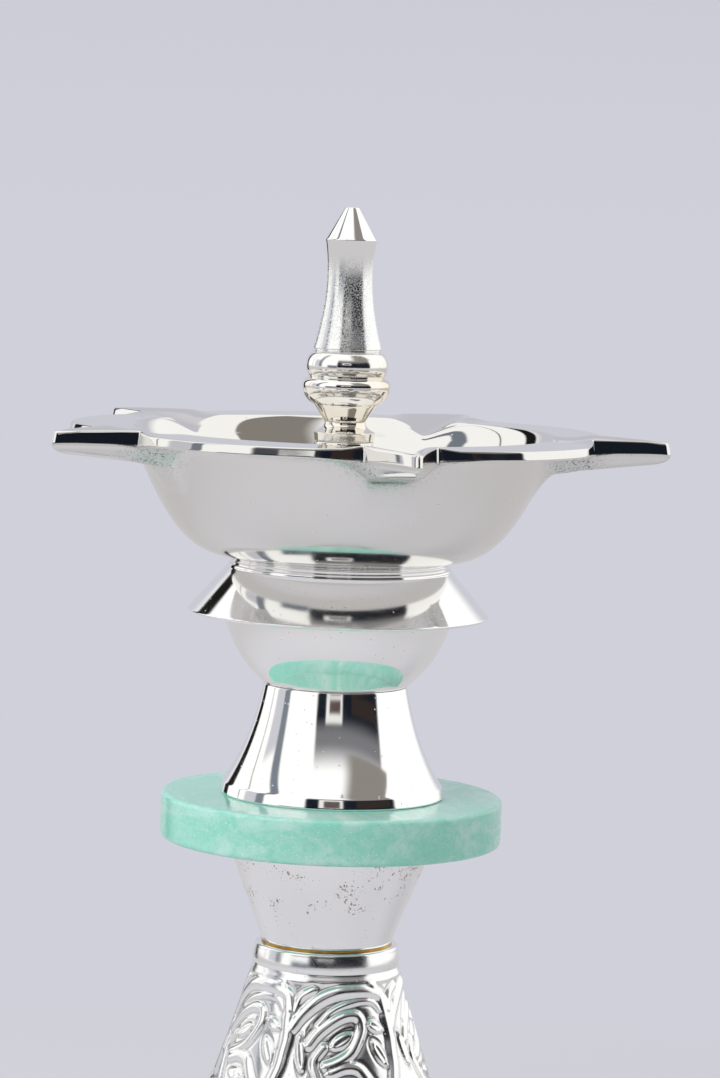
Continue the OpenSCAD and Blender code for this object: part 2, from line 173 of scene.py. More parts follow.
def running_total(steps: np.ndarray) -> np.ndarray:
    """Gives the sum of the steps up to each point, from 0."""
    return np.concatenate([[0.0], np.cumsum(steps)])


def resample(points: np.ndarray, along: np.ndarray, pick: np.ndarray) -> np.ndarray:
    """Gives the points of a line at the picked lengths along it."""
    return np.stack([np.interp(pick, along, points[:, k]) for k in (0, 1)], axis=1)


def smooth_min(a: np.ndarray, b: np.ndarray, reach: float) -> np.ndarray:
    """Gives the lower of two heights with a rounded meeting line.

    The blend is the quadratic one: inside the reach the result dips below both by a quarter of it.

    Args:
        a: First height.
        b: Second height.
        reach: Width of the blend in millimetres.

    Returns:
        The blended height.
    """
    share = np.clip(0.5 + 0.5 * (b - a) / reach, 0.0, 1.0)
    return b * (1.0 - share) + a * share - reach * share * (1.0 - share)


def smooth_max(a: np.ndarray, b: np.ndarray, reach: float) -> np.ndarray:
    """Gives the higher of two heights with a rounded meeting line."""
    return -smooth_min(-a, -b, reach)


def smooth_step(value: np.ndarray, low: float, high: float) -> np.ndarray:
    """Rises from 0 at low to 1 at high with level ends."""
    t = np.clip((value - low) / (high - low), 0.0, 1.0)
    return t * t * (3.0 - 2.0 * t)


def quarter_round(inside: np.ndarray, size: np.ndarray) -> np.ndarray:
    """Gives how far a rounded edge falls back: a quarter circle of the distance inside the edge."""
    gap = np.clip(size - inside, 0.0, size)
    return size - np.sqrt(size ** 2 - gap ** 2)


def soft_outline(points: np.ndarray, soften: float, count: int, closed: bool) -> np.ndarray:
    """Rounds an outline's corners and spaces its points well.

    The outline is laid out in equal steps and blurred along its length by a bell-shaped window, which
    rounds each corner to about the window's width. The points are then set apart by length plus turn,
    so that they lie closest where the outline bends. An open outline starts and ends on the axis, and
    is mirrored across it first, so that its ends stay there.

    Args:
        points: Radius and height of the corners, in millimetres.
        soften: Width of the window in millimetres.
        count: Number of points to give back.
        closed: Whether the outline closes on itself.

    Returns:
        An array of count points.
    """
    loop = points if closed else np.vstack([points, points[::-1] * (-1.0, 1.0)])
    ring = np.vstack([loop, loop[:1]])
    along = running_total(np.hypot(*np.diff(ring, axis=0).T))
    fine = 2 * int(along[-1] / (soften * 0.5))
    place = np.linspace(0.0, along[-1], fine, endpoint=False)
    even = resample(ring, along, place)
    pitch = np.fft.rfftfreq(fine, d=along[-1] / fine)
    window = np.exp(-2.0 * (np.pi * pitch * soften) ** 2)[:, None]
    even = np.fft.irfft(np.fft.rfft(even, axis=0) * window, n=fine, axis=0)
    soft = np.vstack([even, even[:1]]) if closed else even[:fine // 2 + 1]
    run = np.diff(soft, axis=0)
    heading = np.unwrap(np.arctan2(run[:, 1], run[:, 0]))
    turn = np.abs(np.diff(heading, prepend=heading[:1]))
    corner_weight = 2.5
    spacing = running_total(np.hypot(*run.T) + corner_weight * turn)
    pick = np.linspace(0.0, spacing[-1], count, endpoint=not closed)
    return resample(soft, spacing, pick)


def full_turn(count: int) -> np.ndarray:
    """Gives evenly spaced angles round the axis, in radians."""
    return np.linspace(0.0, 2.0 * np.pi, count, endpoint=False)


def around(radius: np.ndarray, height: np.ndarray, angles: np.ndarray) -> np.ndarray:
    """Gives points round the axis.

    A point at radius r and height z goes to (r cos a, r sin a, z) at its column's angle a.

    Args:
        radius: Radii in millimetres, rows by columns or one column for all angles.
        height: Heights, likewise.
        angles: The columns' angles in radians.

    Returns:
        A grid of points, rows by columns by three, in millimetres.
    """
    spots = np.broadcast_arrays(radius * np.cos(angles), radius * np.sin(angles), height)
    return np.stack(spots, axis=-1)


def revolve(outline: np.ndarray, angles: np.ndarray) -> np.ndarray:
    """Turns an outline of radius and height about the axis."""
    return around(outline[:, :1], outline[:, 1:], angles)


def make_piece(name: str, grid: np.ndarray, closed: bool,
               marks: Mapping[str, np.ndarray] = {}) -> Object:
    """Makes a mesh piece from a grid of points that closes round its second direction.

    Each cell of the grid is one face. A closed grid also joins its last row to its first, and an open
    one gets a cap on each end row. The signed volume says whether the faces point outwards, and they
    are turned round if they don't.

    Args:
        name: Name of the piece.
        grid: Rows by columns by three, in millimetres.
        closed: Whether the rows close on themselves.
        marks: Named values per point, kept as attributes of the mesh.

    Returns:
        The new object, linked to the scene.
    """
    rows, columns = grid.shape[:2]
    index = np.arange(rows * columns).reshape(rows, columns)
    low = index if closed else index[:-1]
    high = np.roll(index, -1, axis=0) if closed else index[1:]
    quads = np.stack([low, np.roll(low, -1, 1), np.roll(high, -1, 1), high], axis=-1).reshape(-1, 4)
    points = grid.reshape(-1, 3) * MM
    p, q, r, s = (points[quads[:, k]] for k in range(4))
    volume = np.einsum("ij,ij->", p, np.cross(q, r)) + np.einsum("ij,ij->", p, np.cross(r, s))
    ends = [] if closed else [index[0][::-1].tolist(), index[-1].tolist()]
    if volume < 0.0:
        quads = quads[:, ::-1]
        ends = [end[::-1] for end in ends]
    mesh = bpy.data.meshes.new(name)
    mesh.from_pydata(points.tolist(), [], quads.tolist() + ends)
    mesh.polygons.foreach_set("use_smooth", np.ones(len(mesh.polygons), bool))
    for key, values in marks.items():
        mark = mesh.attributes.new(key, "FLOAT", "POINT")
        mark.data.foreach_set("value", values.astype(np.float32).ravel())
    mesh.update()
    piece = bpy.data.objects.new(name, mesh)
    bpy.context.scene.collection.objects.link(piece)
    return piece


# Finishes


def start_material(name: str) -> tuple[Material, NodeTree, NodeSocket]:
    """Starts a material with an empty tree.

    Args:
        name: The material's name.

    Returns:
        The material, its tree and the piece's Object coordinates.
    """
    material = bpy.data.materials.new(name)
    material.use_nodes = True
    tree = material.node_tree
    tree.nodes.clear()
    return material, tree, add(tree, "ShaderNodeTexCoord").outputs["Object"]


@dataclass
class Surface:
    """A material in the making: its tree, where a point lies, and its colour, gloss and bump so far."""

    tree: NodeTree
    where: NodeSocket
    height: NodeSocket
    shade: NodeSocket | tuple
    gloss: NodeSocket
    bump: Node

    def band(self, low: float, high: float) -> Node:
        """Adds a mask that is 1 in the middle of a band of heights and fades to 0 at its ends.

        Args:
            low: Lower end of the band in millimetres.
            high: Upper end.

        Returns:
            The mask.
        """
        middle, reach = 0.5 * (low + high) * MM, 0.5 * (high - low) * MM
        away = add(self.tree, "ShaderNodeMath", {0: self.height, 1: middle}, operation="SUBTRACT")
        away = add(self.tree, "ShaderNodeMath", {0: away}, operation="ABSOLUTE")
        return add(self.tree, "ShaderNodeMapRange", {0: away, 1: 0.5 * reach, 2: reach, 3: 1.0, 4: 0.0})

    def mix_shade(self, share: Node, colour: str) -> None:
        """Mixes a share of an sRGB colour into the shade."""
        mixed = add(self.tree, "ShaderNodeMix", {0: share, 6: self.shade, 7: srgb(colour)}, data_type="RGBA")
        self.shade = mixed.outputs[2]

    def mix_gloss(self, share: Node | NodeSocket, roughness: float) -> None:
        """Mixes a share of a roughness into the gloss."""
        mixed = add(self.tree, "ShaderNodeMix", {0: share, 2: self.gloss, 3: roughness}, data_type="FLOAT")
        self.gloss = mixed.outputs[0]


@dataclass(frozen=True)
class SilverPlate:
    """Silver plate on brass, polished or left satin.

    A plated and buffed surface mirrors its surroundings almost whole. The eye sees slow waves from the
    buffing wheel, fine turning lines round the axis, dust, and here and there dull speckles, a warmer
    patch or brown specks where the plate has worn or tarnished. Real turning lines and grain are finer:
    they are drawn as coarse as they need to show. Sizes end in mm, depths in um, and a low and a high
    are heights above the table in millimetres.
    """

    name: str
    tint: str = "#F9F9F8"
    warm: str = "#E6D3AE"
    warm_share: float = 0.06
    warm_mm: float = 24.0
    warm_low: float = 0.0
    warm_high: float = 1000.0
    tarnish: str = "#8A6A48"
    roughness: float = 0.07
    dull_roughness: float = 0.55
    buffed_roughness: float = 0.045
    smear_mm: float = 5.0
    wave_um: float = 3.0
    wave_mm: float = 9.0
    line_um: float = 0.25
    line_mm: float = 0.7
    grain_um: float = 0.35
    grain_mm: float = 0.5
    pit_um: float = 0.0
    pit_mm: float = 0.9
    speck_mm: float = 0.6
    speck_cluster_mm: float = 6.0
    speck_low: float = 0.0
    speck_high: float = 0.0
    haze_share: float = 0.0
    haze_mm: float = 0.34
    haze_low: float = 0.0
    haze_high: float = 1000.0
    dust_share: float = 0.5
    dust_mm: float = 1.7
    # Colour of the painted shade in the embossed grooves and at the bottoms of the casting pits
    groove: str = "#4A4C50"
    groove_shade_share: float = 0.0

    def build(self) -> Material:
        """Builds the plate with its bump and patches, then what has happened to it since.

        Returns:
            The material.
        """
        material, tree, where = start_material(self.name)
        split = add(tree, "ShaderNodeSeparateXYZ", {0: where})
        flat = add(tree, "ShaderNodeCombineXYZ", {0: split.outputs[0], 1: split.outputs[1]})
        radius = add(tree, "ShaderNodeVectorMath", {0: flat}, operation="LENGTH")
        turned = add(tree, "ShaderNodeCombineXYZ", {0: radius.outputs["Value"], 2: split.outputs[2]})
        below = {}
        for place, size, detail, fineness, depth in ((where, self.wave_mm, 1.0, 0.5, self.wave_um),
                                                     (turned, self.line_mm, 3.0, 0.5, self.line_um),
                                                     (where, self.grain_mm, 4.0, 0.6, self.grain_um)):
            noise = add(tree, "ShaderNodeTexNoise", {"Vector": place, "Scale": per_mm(size),
                                                     "Detail": detail, "Roughness": fineness})
            bump = add(tree, "ShaderNodeBump",
                       {"Strength": 1.0, "Distance": depth * UM, "Height": noise} | below)
            below = {"Normal": bump}
        smear = add(tree, "ShaderNodeTexNoise",
                    {"Vector": where, "Scale": per_mm(self.smear_mm), "Detail": 5.0})
        rough = add(tree, "ShaderNodeMapRange", {0: smear, 1: 0.3, 2: 0.75,
                                                 3: self.roughness * 0.7, 4: self.roughness * 1.5})
        plate = Surface(tree, where, split.outputs[2], srgb(self.tint), rough.outputs[0], bump)
        patch = add(tree, "ShaderNodeTexNoise",
                    {"Vector": where, "Scale": per_mm(self.warm_mm), "Detail": 3.0})
        patch = add(tree, "ShaderNodeMapRange", {0: patch, 1: 0.4, 2: 0.7, 3: 0.0, 4: self.warm_share})
        band = plate.band(self.warm_low, self.warm_high)
        plate.mix_shade(add(tree, "ShaderNodeMath", {0: patch, 1: band}, operation="MULTIPLY"), self.warm)
        self.add_wear(plate)
        if self.pit_um > 0.0:
            self.add_pits(plate)
        if self.speck_high > self.speck_low:
            self.add_specks(plate)
        if self.groove_shade_share > 0.0:
            self.add_groove_shade(plate)
        body = add(tree, "ShaderNodeBsdfPrincipled", {"Base Color": plate.shade, "Metallic": 1.0,
                                                      "Roughness": plate.gloss, "Normal": plate.bump})
        add(tree, "ShaderNodeOutputMaterial", {"Surface": body})
        return material

    def add_wear(self, plate: Surface) -> None:
        """Adds what scatters light on a polished plate: fine dull speckles where it is worn, and dust.

        On a casting, what the wheel reached is brighter and what was left rough is dull.

        Args:
            plate: The surface so far.
        """
        tree, where = plate.tree, plate.where
        worn = add(tree, "ShaderNodeTexNoise",
                   {"Vector": where, "Scale": per_mm(self.haze_mm), "Detail": 3.0, "Roughness": 0.6})
        worn = add(tree, "ShaderNodeMapRange", {0: worn, 1: 0.36, 2: 0.6, 3: 0.0, 4: self.haze_share})
        band = plate.band(self.haze_low, self.haze_high)
        worn = add(tree, "ShaderNodeMath", {0: worn, 1: band}, operation="MULTIPLY")
        dust = add(tree, "ShaderNodeTexVoronoi", {"Vector": where, "Scale": per_mm(self.dust_mm)},
                   feature="F1")
        keep = add(tree, "ShaderNodeSeparateXYZ", {0: dust.outputs["Color"]})
        keep = add(tree, "ShaderNodeMath", {0: keep, 1: self.dust_share}, operation="LESS_THAN")
        spot = add(tree, "ShaderNodeMapRange",
                   {0: dust.outputs["Distance"], 1: 0.08, 2: 0.14, 3: 0.9, 4: 0.0})
        spot = add(tree, "ShaderNodeMath", {0: spot, 1: keep}, operation="MULTIPLY")
        dull = add(tree, "ShaderNodeMath", {0: worn, 1: spot}, operation="MAXIMUM")
        if self.pit_um > 0.0:
            buffed = add(tree, "ShaderNodeAttribute", attribute_name="buffed")
            plate.mix_gloss(buffed.outputs["Fac"], self.buffed_roughness)
            rough = add(tree, "ShaderNodeAttribute", attribute_name="cast_rough")
            rough = add(tree, "ShaderNodeMath", {0: rough.outputs["Fac"], 1: 0.9}, operation="MULTIPLY")
            dull = add(tree, "ShaderNodeMath", {0: dull, 1: rough}, operation="MAXIMUM")
        plate.mix_gloss(dull, self.dull_roughness)

    def add_pits(self, plate: Surface) -> None:
        """Adds casting pits where the mesh says that the casting was left rough, with painted shade at their
        bottoms.

        Args:
            plate: The surface so far.
        """
        tree = plate.tree
        rough = add(tree, "ShaderNodeAttribute", attribute_name="cast_rough").outputs["Fac"]
        pits = add(tree, "ShaderNodeTexNoise",
                   {"Vector": plate.where, "Scale": per_mm(self.pit_mm), "Detail": 4.0, "Roughness": 0.62})
        depth = add(tree, "ShaderNodeMath", {0: pits, 1: rough}, operation="MULTIPLY")
        plate.bump = add(tree, "ShaderNodeBump", {"Strength": 1.0, "Distance": self.pit_um * UM,
                                                  "Height": depth, "Normal": plate.bump})
        # Painted shade at the bottoms of the pits, in the groove colour
        pit_shade = add(tree, "ShaderNodeMapRange", {0: pits, 1: 0.36, 2: 0.46, 3: 0.85, 4: 0.0})
        plate.mix_shade(add(tree, "ShaderNodeMath", {0: pit_shade, 1: rough}, operation="MULTIPLY"), self.groove)

    def add_specks(self, plate: Surface) -> None:
        """Adds loose clusters of brown tarnish specks in a band of heights.

        Args:
            plate: The surface so far.
        """
        tree, where = plate.tree, plate.where
        band = plate.band(self.speck_low, self.speck_high)
        band = add(tree, "ShaderNodeMath", {0: band, 1: 0.12}, operation="MULTIPLY")
        cluster = add(tree, "ShaderNodeTexNoise",
                      {"Vector": where, "Scale": per_mm(self.speck_cluster_mm), "Detail": 2.0})
        cluster = add(tree, "ShaderNodeMapRange", {0: cluster, 1: 0.4, 2: 0.62, 3: -0.08, 4: 0.12})
        speck = add(tree, "ShaderNodeTexNoise",
                    {"Vector": where, "Scale": per_mm(self.speck_mm), "Detail": 3.0, "Roughness": 0.55})
        total = add(tree, "ShaderNodeMath", {0: speck, 1: band}, operation="ADD")
        total = add(tree, "ShaderNodeMath", {0: total, 1: cluster}, operation="ADD")
        spot = add(tree, "ShaderNodeMapRange", {0: total, 1: 0.79, 2: 0.83, 3: 0.0, 4: 0.8})
        plate.mix_shade(spot, self.tarnish)
        plate.mix_gloss(spot, 0.45)

    def add_groove_shade(self, plate: Surface) -> None:
        """Paints shade into the bottoms of the embossed grooves, darkening the colour and dulling the gloss
        there.

        Args:
            plate: The surface so far.
        """
        depth = add(plate.tree, "ShaderNodeAttribute", attribute_name="groove").outputs["Fac"]
        share = add(plate.tree, "ShaderNodeMath", {0: depth, 1: self.groove_shade_share}, operation="MULTIPLY")
        plate.mix_shade(share, self.groove)
        plate.mix_gloss(share, 0.4)


@dataclass(frozen=True)
class GreenStone:
    """Green aventurine quartz, sawn and polished.

    Quartz with fine green mica in it: the eye sees a milky mint body, paler clouds and streaks, darker
    green grains and flakes, under a clear polish with quartz's IOR of 1.54. Their glints are painted in as
    pale spots.
    """

    name: str = "green_aventurine_polished"
    body: str = "#9BE1CF"
    cloud: str = "#C6ECE3"
    cloud_mm: float = 9.0
    deep: str = "#7BC6B1"
    deep_mm: float = 1.1
    # Pale colour painted on the flakes to stand for their glints
    painted_glint: str = "#F0FBF6"
    painted_glint_mm: float = 0.9
    roughness: float = 0.16
    wave_mm: float = 2.2
    wave_um: float = 3.0
    depth_mm: float = 3.0

    def build(self) -> Material:
        """Builds the clouds, the grains and the flakes' painted glints over the body, under the polish.

        Returns:
            The material.
        """
        material, tree, where = start_material(self.name)
        turn = add(tree, "ShaderNodeMapping", {"Vector": where, "Rotation": (0.3, 0.5, 0.6),
                                               "Scale": (1.0, 0.35, 1.6)})
        cloud = add(tree, "ShaderNodeTexNoise", {"Vector": turn, "Scale": per_mm(self.cloud_mm),
                                                 "Detail": 6.0, "Roughness": 0.62, "Distortion": 0.8})
        cloud = add(tree, "ShaderNodeMapRange", {0: cloud, 1: 0.44, 2: 0.64, 3: 0.0, 4: 0.9})
        grain = add(tree, "ShaderNodeTexNoise",
                    {"Vector": where, "Scale": per_mm(self.deep_mm), "Detail": 4.0, "Roughness": 0.7})
        grain = add(tree, "ShaderNodeMapRange", {0: grain, 1: 0.5, 2: 0.75, 3: 0.0, 4: 0.4})
        # Pale spots painted into the colour where the mica flakes glint: painted highlights
        painted_glint_spot = add(tree, "ShaderNodeTexVoronoi", {"Vector": where, "Scale": per_mm(self.painted_glint_mm)},
                    feature="F1")
        painted_glint_spot = add(tree, "ShaderNodeMapRange",
                    {0: painted_glint_spot.outputs["Distance"], 1: 0.10, 2: 0.2, 3: 0.55, 4: 0.0})
        shade = srgb(self.body)
        for share, colour in ((cloud, self.cloud), (grain, self.deep), (painted_glint_spot, self.painted_glint)):
            mixed = add(tree, "ShaderNodeMix", {0: share, 6: shade, 7: srgb(colour)}, data_type="RGBA")
            shade = mixed.outputs[2]
        wave = add(tree, "ShaderNodeTexNoise",
                   {"Vector": where, "Scale": per_mm(self.wave_mm), "Detail": 2.0})
        bump = add(tree, "ShaderNodeBump", {"Strength": 1.0, "Distance": self.wave_um * UM, "Height": wave})
        stone = add(tree, "ShaderNodeBsdfPrincipled", {
            "Base Color": shade, "Roughness": self.roughness, "IOR": 1.54, "Subsurface Weight": 0.35,
            "Subsurface Radius": (0.6, 1.0, 0.9), "Subsurface Scale": self.depth_mm * MM, "Normal": bump})
        add(tree, "ShaderNodeOutputMaterial", {"Surface": stone})
        return material


@dataclass(frozen=True)
class BareMetal:
    """Turned brass or zinc-plated steel, left as it came from the lathe or the plating bath.

    The eye sees a duller metal than the silver, with fine turning lines and a cloudy colour.
    """

    name: str
    tint: str
    cloud: str
    roughness: float
    cloud_mm: float = 4.0
    line_mm: float = 0.35
    line_um: float = 4.0

    def build(self) -> Material:
        """Builds the cloudy colour and gloss, and the turning lines.

        Returns:
            The material.
        """
        material, tree, where = start_material(self.name)
        cloud = add(tree, "ShaderNodeTexNoise",
                    {"Vector": where, "Scale": per_mm(self.cloud_mm), "Detail": 4.0})
        share = add(tree, "ShaderNodeMapRange", {0: cloud, 1: 0.35, 2: 0.7, 3: 0.0, 4: 1.0})
        colour = add(tree, "ShaderNodeMix", {0: share, 6: srgb(self.tint), 7: srgb(self.cloud)},
                     data_type="RGBA")
        rough = add(tree, "ShaderNodeMapRange", {0: cloud, 1: 0.3, 2: 0.7,
                                                 3: self.roughness * 0.8, 4: self.roughness * 1.3})
        stretch = add(tree, "ShaderNodeMapping", {"Vector": where, "Scale": (0.1, 0.1, 1.0)})
        line = add(tree, "ShaderNodeTexNoise",
                   {"Vector": stretch, "Scale": per_mm(self.line_mm), "Detail": 3.0})
        bump = add(tree, "ShaderNodeBump", {"Strength": 1.0, "Distance": self.line_um * UM, "Height": line})
        body = add(tree, "ShaderNodeBsdfPrincipled", {"Base Color": colour.outputs[2], "Metallic": 1.0,
                                                      "Roughness": rough, "Normal": bump})
        add(tree, "ShaderNodeOutputMaterial", {"Surface": body})
        return material


@dataclass
class Finishes:
    """The materials of the lamp, each built once."""

    polished: Material = field(init=False)
    cone: Material = field(init=False)
    finial: Material = field(init=False)
    cast: Material = field(init=False)
    embossed: Material = field(init=False)
    stone: Material = field(init=False)
    brass: Material = field(init=False)
    steel: Material = field(init=False)

    def __post_init__(self) -> None:
        """Builds every finish from its real material."""
        self.polished = SilverPlate("silver_plate_polished").build()
        self.cone = SilverPlate("silver_plate_specked", roughness=0.12, speck_low=100.0,
                                speck_high=119.0).build()
        self.finial = SilverPlate("silver_plate_warm", haze_share=0.7, haze_low=222.0, haze_high=250.0,
                                  warm_share=0.8, warm_low=204.0, warm_high=228.0).build()
        self.cast = SilverPlate("silver_plate_cast", tint="#E9E8E5", roughness=0.12, dust_share=0.15,
                                wave_um=6.0, wave_mm=7.0, line_um=0.6, grain_um=0.6, pit_um=130.0,
                                pit_mm=0.5).build()
        self.embossed = SilverPlate("silver_plate_embossed", roughness=0.14, haze_share=0.45,
                                    groove_shade_share=0.25).build()
        self.stone = GreenStone().build()
        self.brass = BareMetal("brass_turned", "#D9B36A", "#B98B45", 0.28).build()
        self.steel = BareMetal("steel_zinc_plated", "#C9CCD0", "#A9ADB3", 0.32).build()


def dress(piece: Object, node: str, body: Body,
          finish: Material) -> Object:
    """Gives a piece its finish and its body, and hides the node that it stands for.

    Args:
        piece: The piece.
        node: The node that it replaces.
        body: The body that it rides on.
        finish: The material.

    Returns:
        The same piece.
    """
    piece.data.materials.append(finish)
    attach(piece, body.value)
    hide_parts(node)
    LOG.info("%s: %d faces on %s", piece.name, len(piece.data.polygons), body.value)
    return piece


def levels(node: str) -> tuple[float, float, float]:
    """Gives a node's lowest and highest level and its widest radius, in millimetres."""
    low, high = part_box(node)
    return low.z / MM, high.z / MM, max(high.x, high.y) / MM


# The pieces


@dataclass
class TurnedPiece:
    """A piece turned about the lamp's axis, from an outline in millimetres.

    The outline closes on itself round a bore, or starts and ends on the axis.
    """

    node: str
    body: Body
    slot: Slot
    finish: Material
    soften: float = 0.12
    samples: int = 190
    turns: int = 192
    closed: bool = True

    def outline(self) -> np.ndarray:
        """Gives the outline's corners; each piece has its own."""
        raise NotImplementedError

    def build(self) -> Object:
        """Turns the softened outline into a dressed piece.

        Returns:
            The piece.
        """
        shape = soft_outline(self.outline(), self.soften, self.samples, self.closed)
        shape[:, 0] = np.maximum(shape[:, 0], LEAST_R)
        piece = make_piece(self.node + "_turned", revolve(shape, full_turn(self.turns)), self.closed)
        return dress(piece, self.node, self.body, self.finish)


@dataclass
class FootRing(TurnedPiece):
    """Ring under the pedestal: a flat base, a ledge and a rounded outer bead."""

    ledge_in: float = 48.4
    ledge_z: float = 5.0
    bead_in: float = 52.25
    bead_out: float = 55.5
    base_r: float = 54.33

    def outline(self) -> np.ndarray:
        """Gives the base, the bead as one cubic curve, and the ledge inside it.

        Returns:
            Radius and height of its corners, in millimetres.
        """
        low, high, _ = levels(self.node)
        bead = curve((self.base_r, low), (self.bead_out, low), (self.bead_out, high), (self.bead_in, high))
        return chain((self.ledge_in, low), bead, (self.bead_in, self.ledge_z), (self.ledge_in, self.ledge_z))


@dataclass
class SeatWasher(TurnedPiece):
    """Thin brass washer between the pedestal and the cone cup."""

    hole_r: float = 4.25
    soften: float = 0.06

    def outline(self) -> np.ndarray:
        """Gives a flat ring's section.

        Returns:
            Radius and height of its corners, in millimetres.
        """
        low, high, edge = levels(self.node)
        return chain((self.hole_r, low), (edge, low), (edge, high), (self.hole_r, high))


@dataclass
class ConeCup(TurnedPiece):
    """Spun cup that opens upwards under the stone."""

    foot_r: float = 14.65
    swell: float = 0.45
    wall: float = 1.2
    floor_t: float = 2.5
    hole_r: float = 4.25

    def outline(self) -> np.ndarray:
        """Gives the swelling side, the same side one wall inwards, and the drilled floor.

        Returns:
            Radius and height of its corners, in millimetres.
        """
        low, high, rim = levels(self.node)
        tall = high - low
        middle = 0.5 * (self.foot_r + rim) + self.swell * 4.0 / 3.0
        side = curve((self.foot_r, low), (0.5 * (self.foot_r + middle), low + tall / 3.0),
                     (0.5 * (rim + middle), low + tall * 2.0 / 3.0), (rim, high))
        inside = (side - (self.wall, 0.0))[::-1]
        inside = inside[inside[:, 1] > low + self.floor_t]
        return chain(side, inside, (self.foot_r - self.wall, low + self.floor_t),
                     (self.hole_r, low + self.floor_t), (self.hole_r, low))


@dataclass
class StoneDisc(TurnedPiece):
    """Polished stone slice with softened edges and a drilled hole."""

    edge_r: float = 0.9
    hole_r: float = 4.6

    def outline(self) -> np.ndarray:
        """Gives a flat disc's section with two round edges.

        Returns:
            Radius and height of its corners, in millimetres.
        """
        low, high, rim = levels(self.node)
        x = rim - self.edge_r
        return chain((self.hole_r, low), arc((x, low + self.edge_r), self.edge_r, -90.0, 0.0),
                     arc((x, high - self.edge_r), self.edge_r, 0.0, 90.0), (self.hole_r, high))


@dataclass
class BellCollar(TurnedPiece):
    """Spun bell that opens downwards and stands on the stone on an upright lip."""

    top_r: float = 16.1
    lip_h: float = 2.5
    lip_draft: float = 0.5
    flare: tuple[float, float] = (3.3, 4.6)
    throat: tuple[float, float] = (1.7, 10.0)
    wall: float = 1.2
    top_t: float = 2.5
    hole_r: float = 4.25

    def outline(self) -> np.ndarray:
        """Gives the drafted lip, the hollow side as one cubic curve, the drilled top and the inside.

        Returns:
            Radius and height of its corners, in millimetres.
        """
        low, high, rim = levels(self.node)
        lip = (rim - self.lip_draft, low + self.lip_h)
        side = curve(lip, (lip[0] - self.flare[0], lip[1] + self.flare[1]),
                     (self.top_r + self.throat[0], high - self.throat[1]), (self.top_r, high))
        inside = (side - (self.wall, 0.0))[::-1]
        inside = inside[inside[:, 1] < high - self.top_t]
        return chain((rim - 0.2, low), (rim, low + 0.3), side, (self.hole_r, high),
                     (self.hole_r, high - self.top_t), (self.top_r - self.wall, high - self.top_t), inside,
                     (lip[0] - self.wall, low))


@dataclass
class KnopCup(TurnedPiece):
    """Half-round cup with a flat drilled foot."""

    wall: float = 1.2
    floor_t: float = 2.5
    hole_r: float = 4.25

    def outline(self) -> np.ndarray:
        """Gives the outer and inner arcs about one centre on the rim's level.

        Returns:
            Radius and height of its corners, in millimetres.
        """
        low, high, rim = levels(self.node)
        tall = high - low
        inner = rim - self.wall
        foot = math.degrees(math.asin(tall / rim))
        floor = math.degrees(math.asin((tall - self.floor_t) / inner))
        return chain(arc((0.0, high), rim, -foot, 0.0, 60), arc((0.0, high), inner, 0.0, -floor, 60),
                     (self.hole_r, low + self.floor_t), (self.hole_r, low))


@dataclass
class SkirtCollar(TurnedPiece):
    """Collar under the bowl: a hollowed neck, a bead and a flared cone."""

    top_r: float = 26.6
    neck_r: float = 24.2
    bead_r: float = 0.7
    bead_x: float = 24.4
    bead_drop: float = 2.4
    wall: float = 1.5

    def outline(self) -> np.ndarray:
        """Gives the neck's hollow, the bead as an arc, and the straight cone with its inside.

        Returns:
            Radius and height of its corners, in millimetres.
        """
        low, high, edge = levels(self.node)
        bead_z = high - self.bead_drop
        bead = arc((self.bead_x, bead_z), self.bead_r, 80.0, -20.0)
        return chain(curve((self.top_r, high), (self.top_r - 1.0, high - 0.2), (self.neck_r, high - 0.4),
                           (self.neck_r, bead_z + self.bead_r)),
                     bead, (edge, low + 0.5), (edge - 0.4, low), (edge - self.wall, low),
                     (self.neck_r - self.wall, bead_z - self.bead_r), (self.neck_r - self.wall, high))


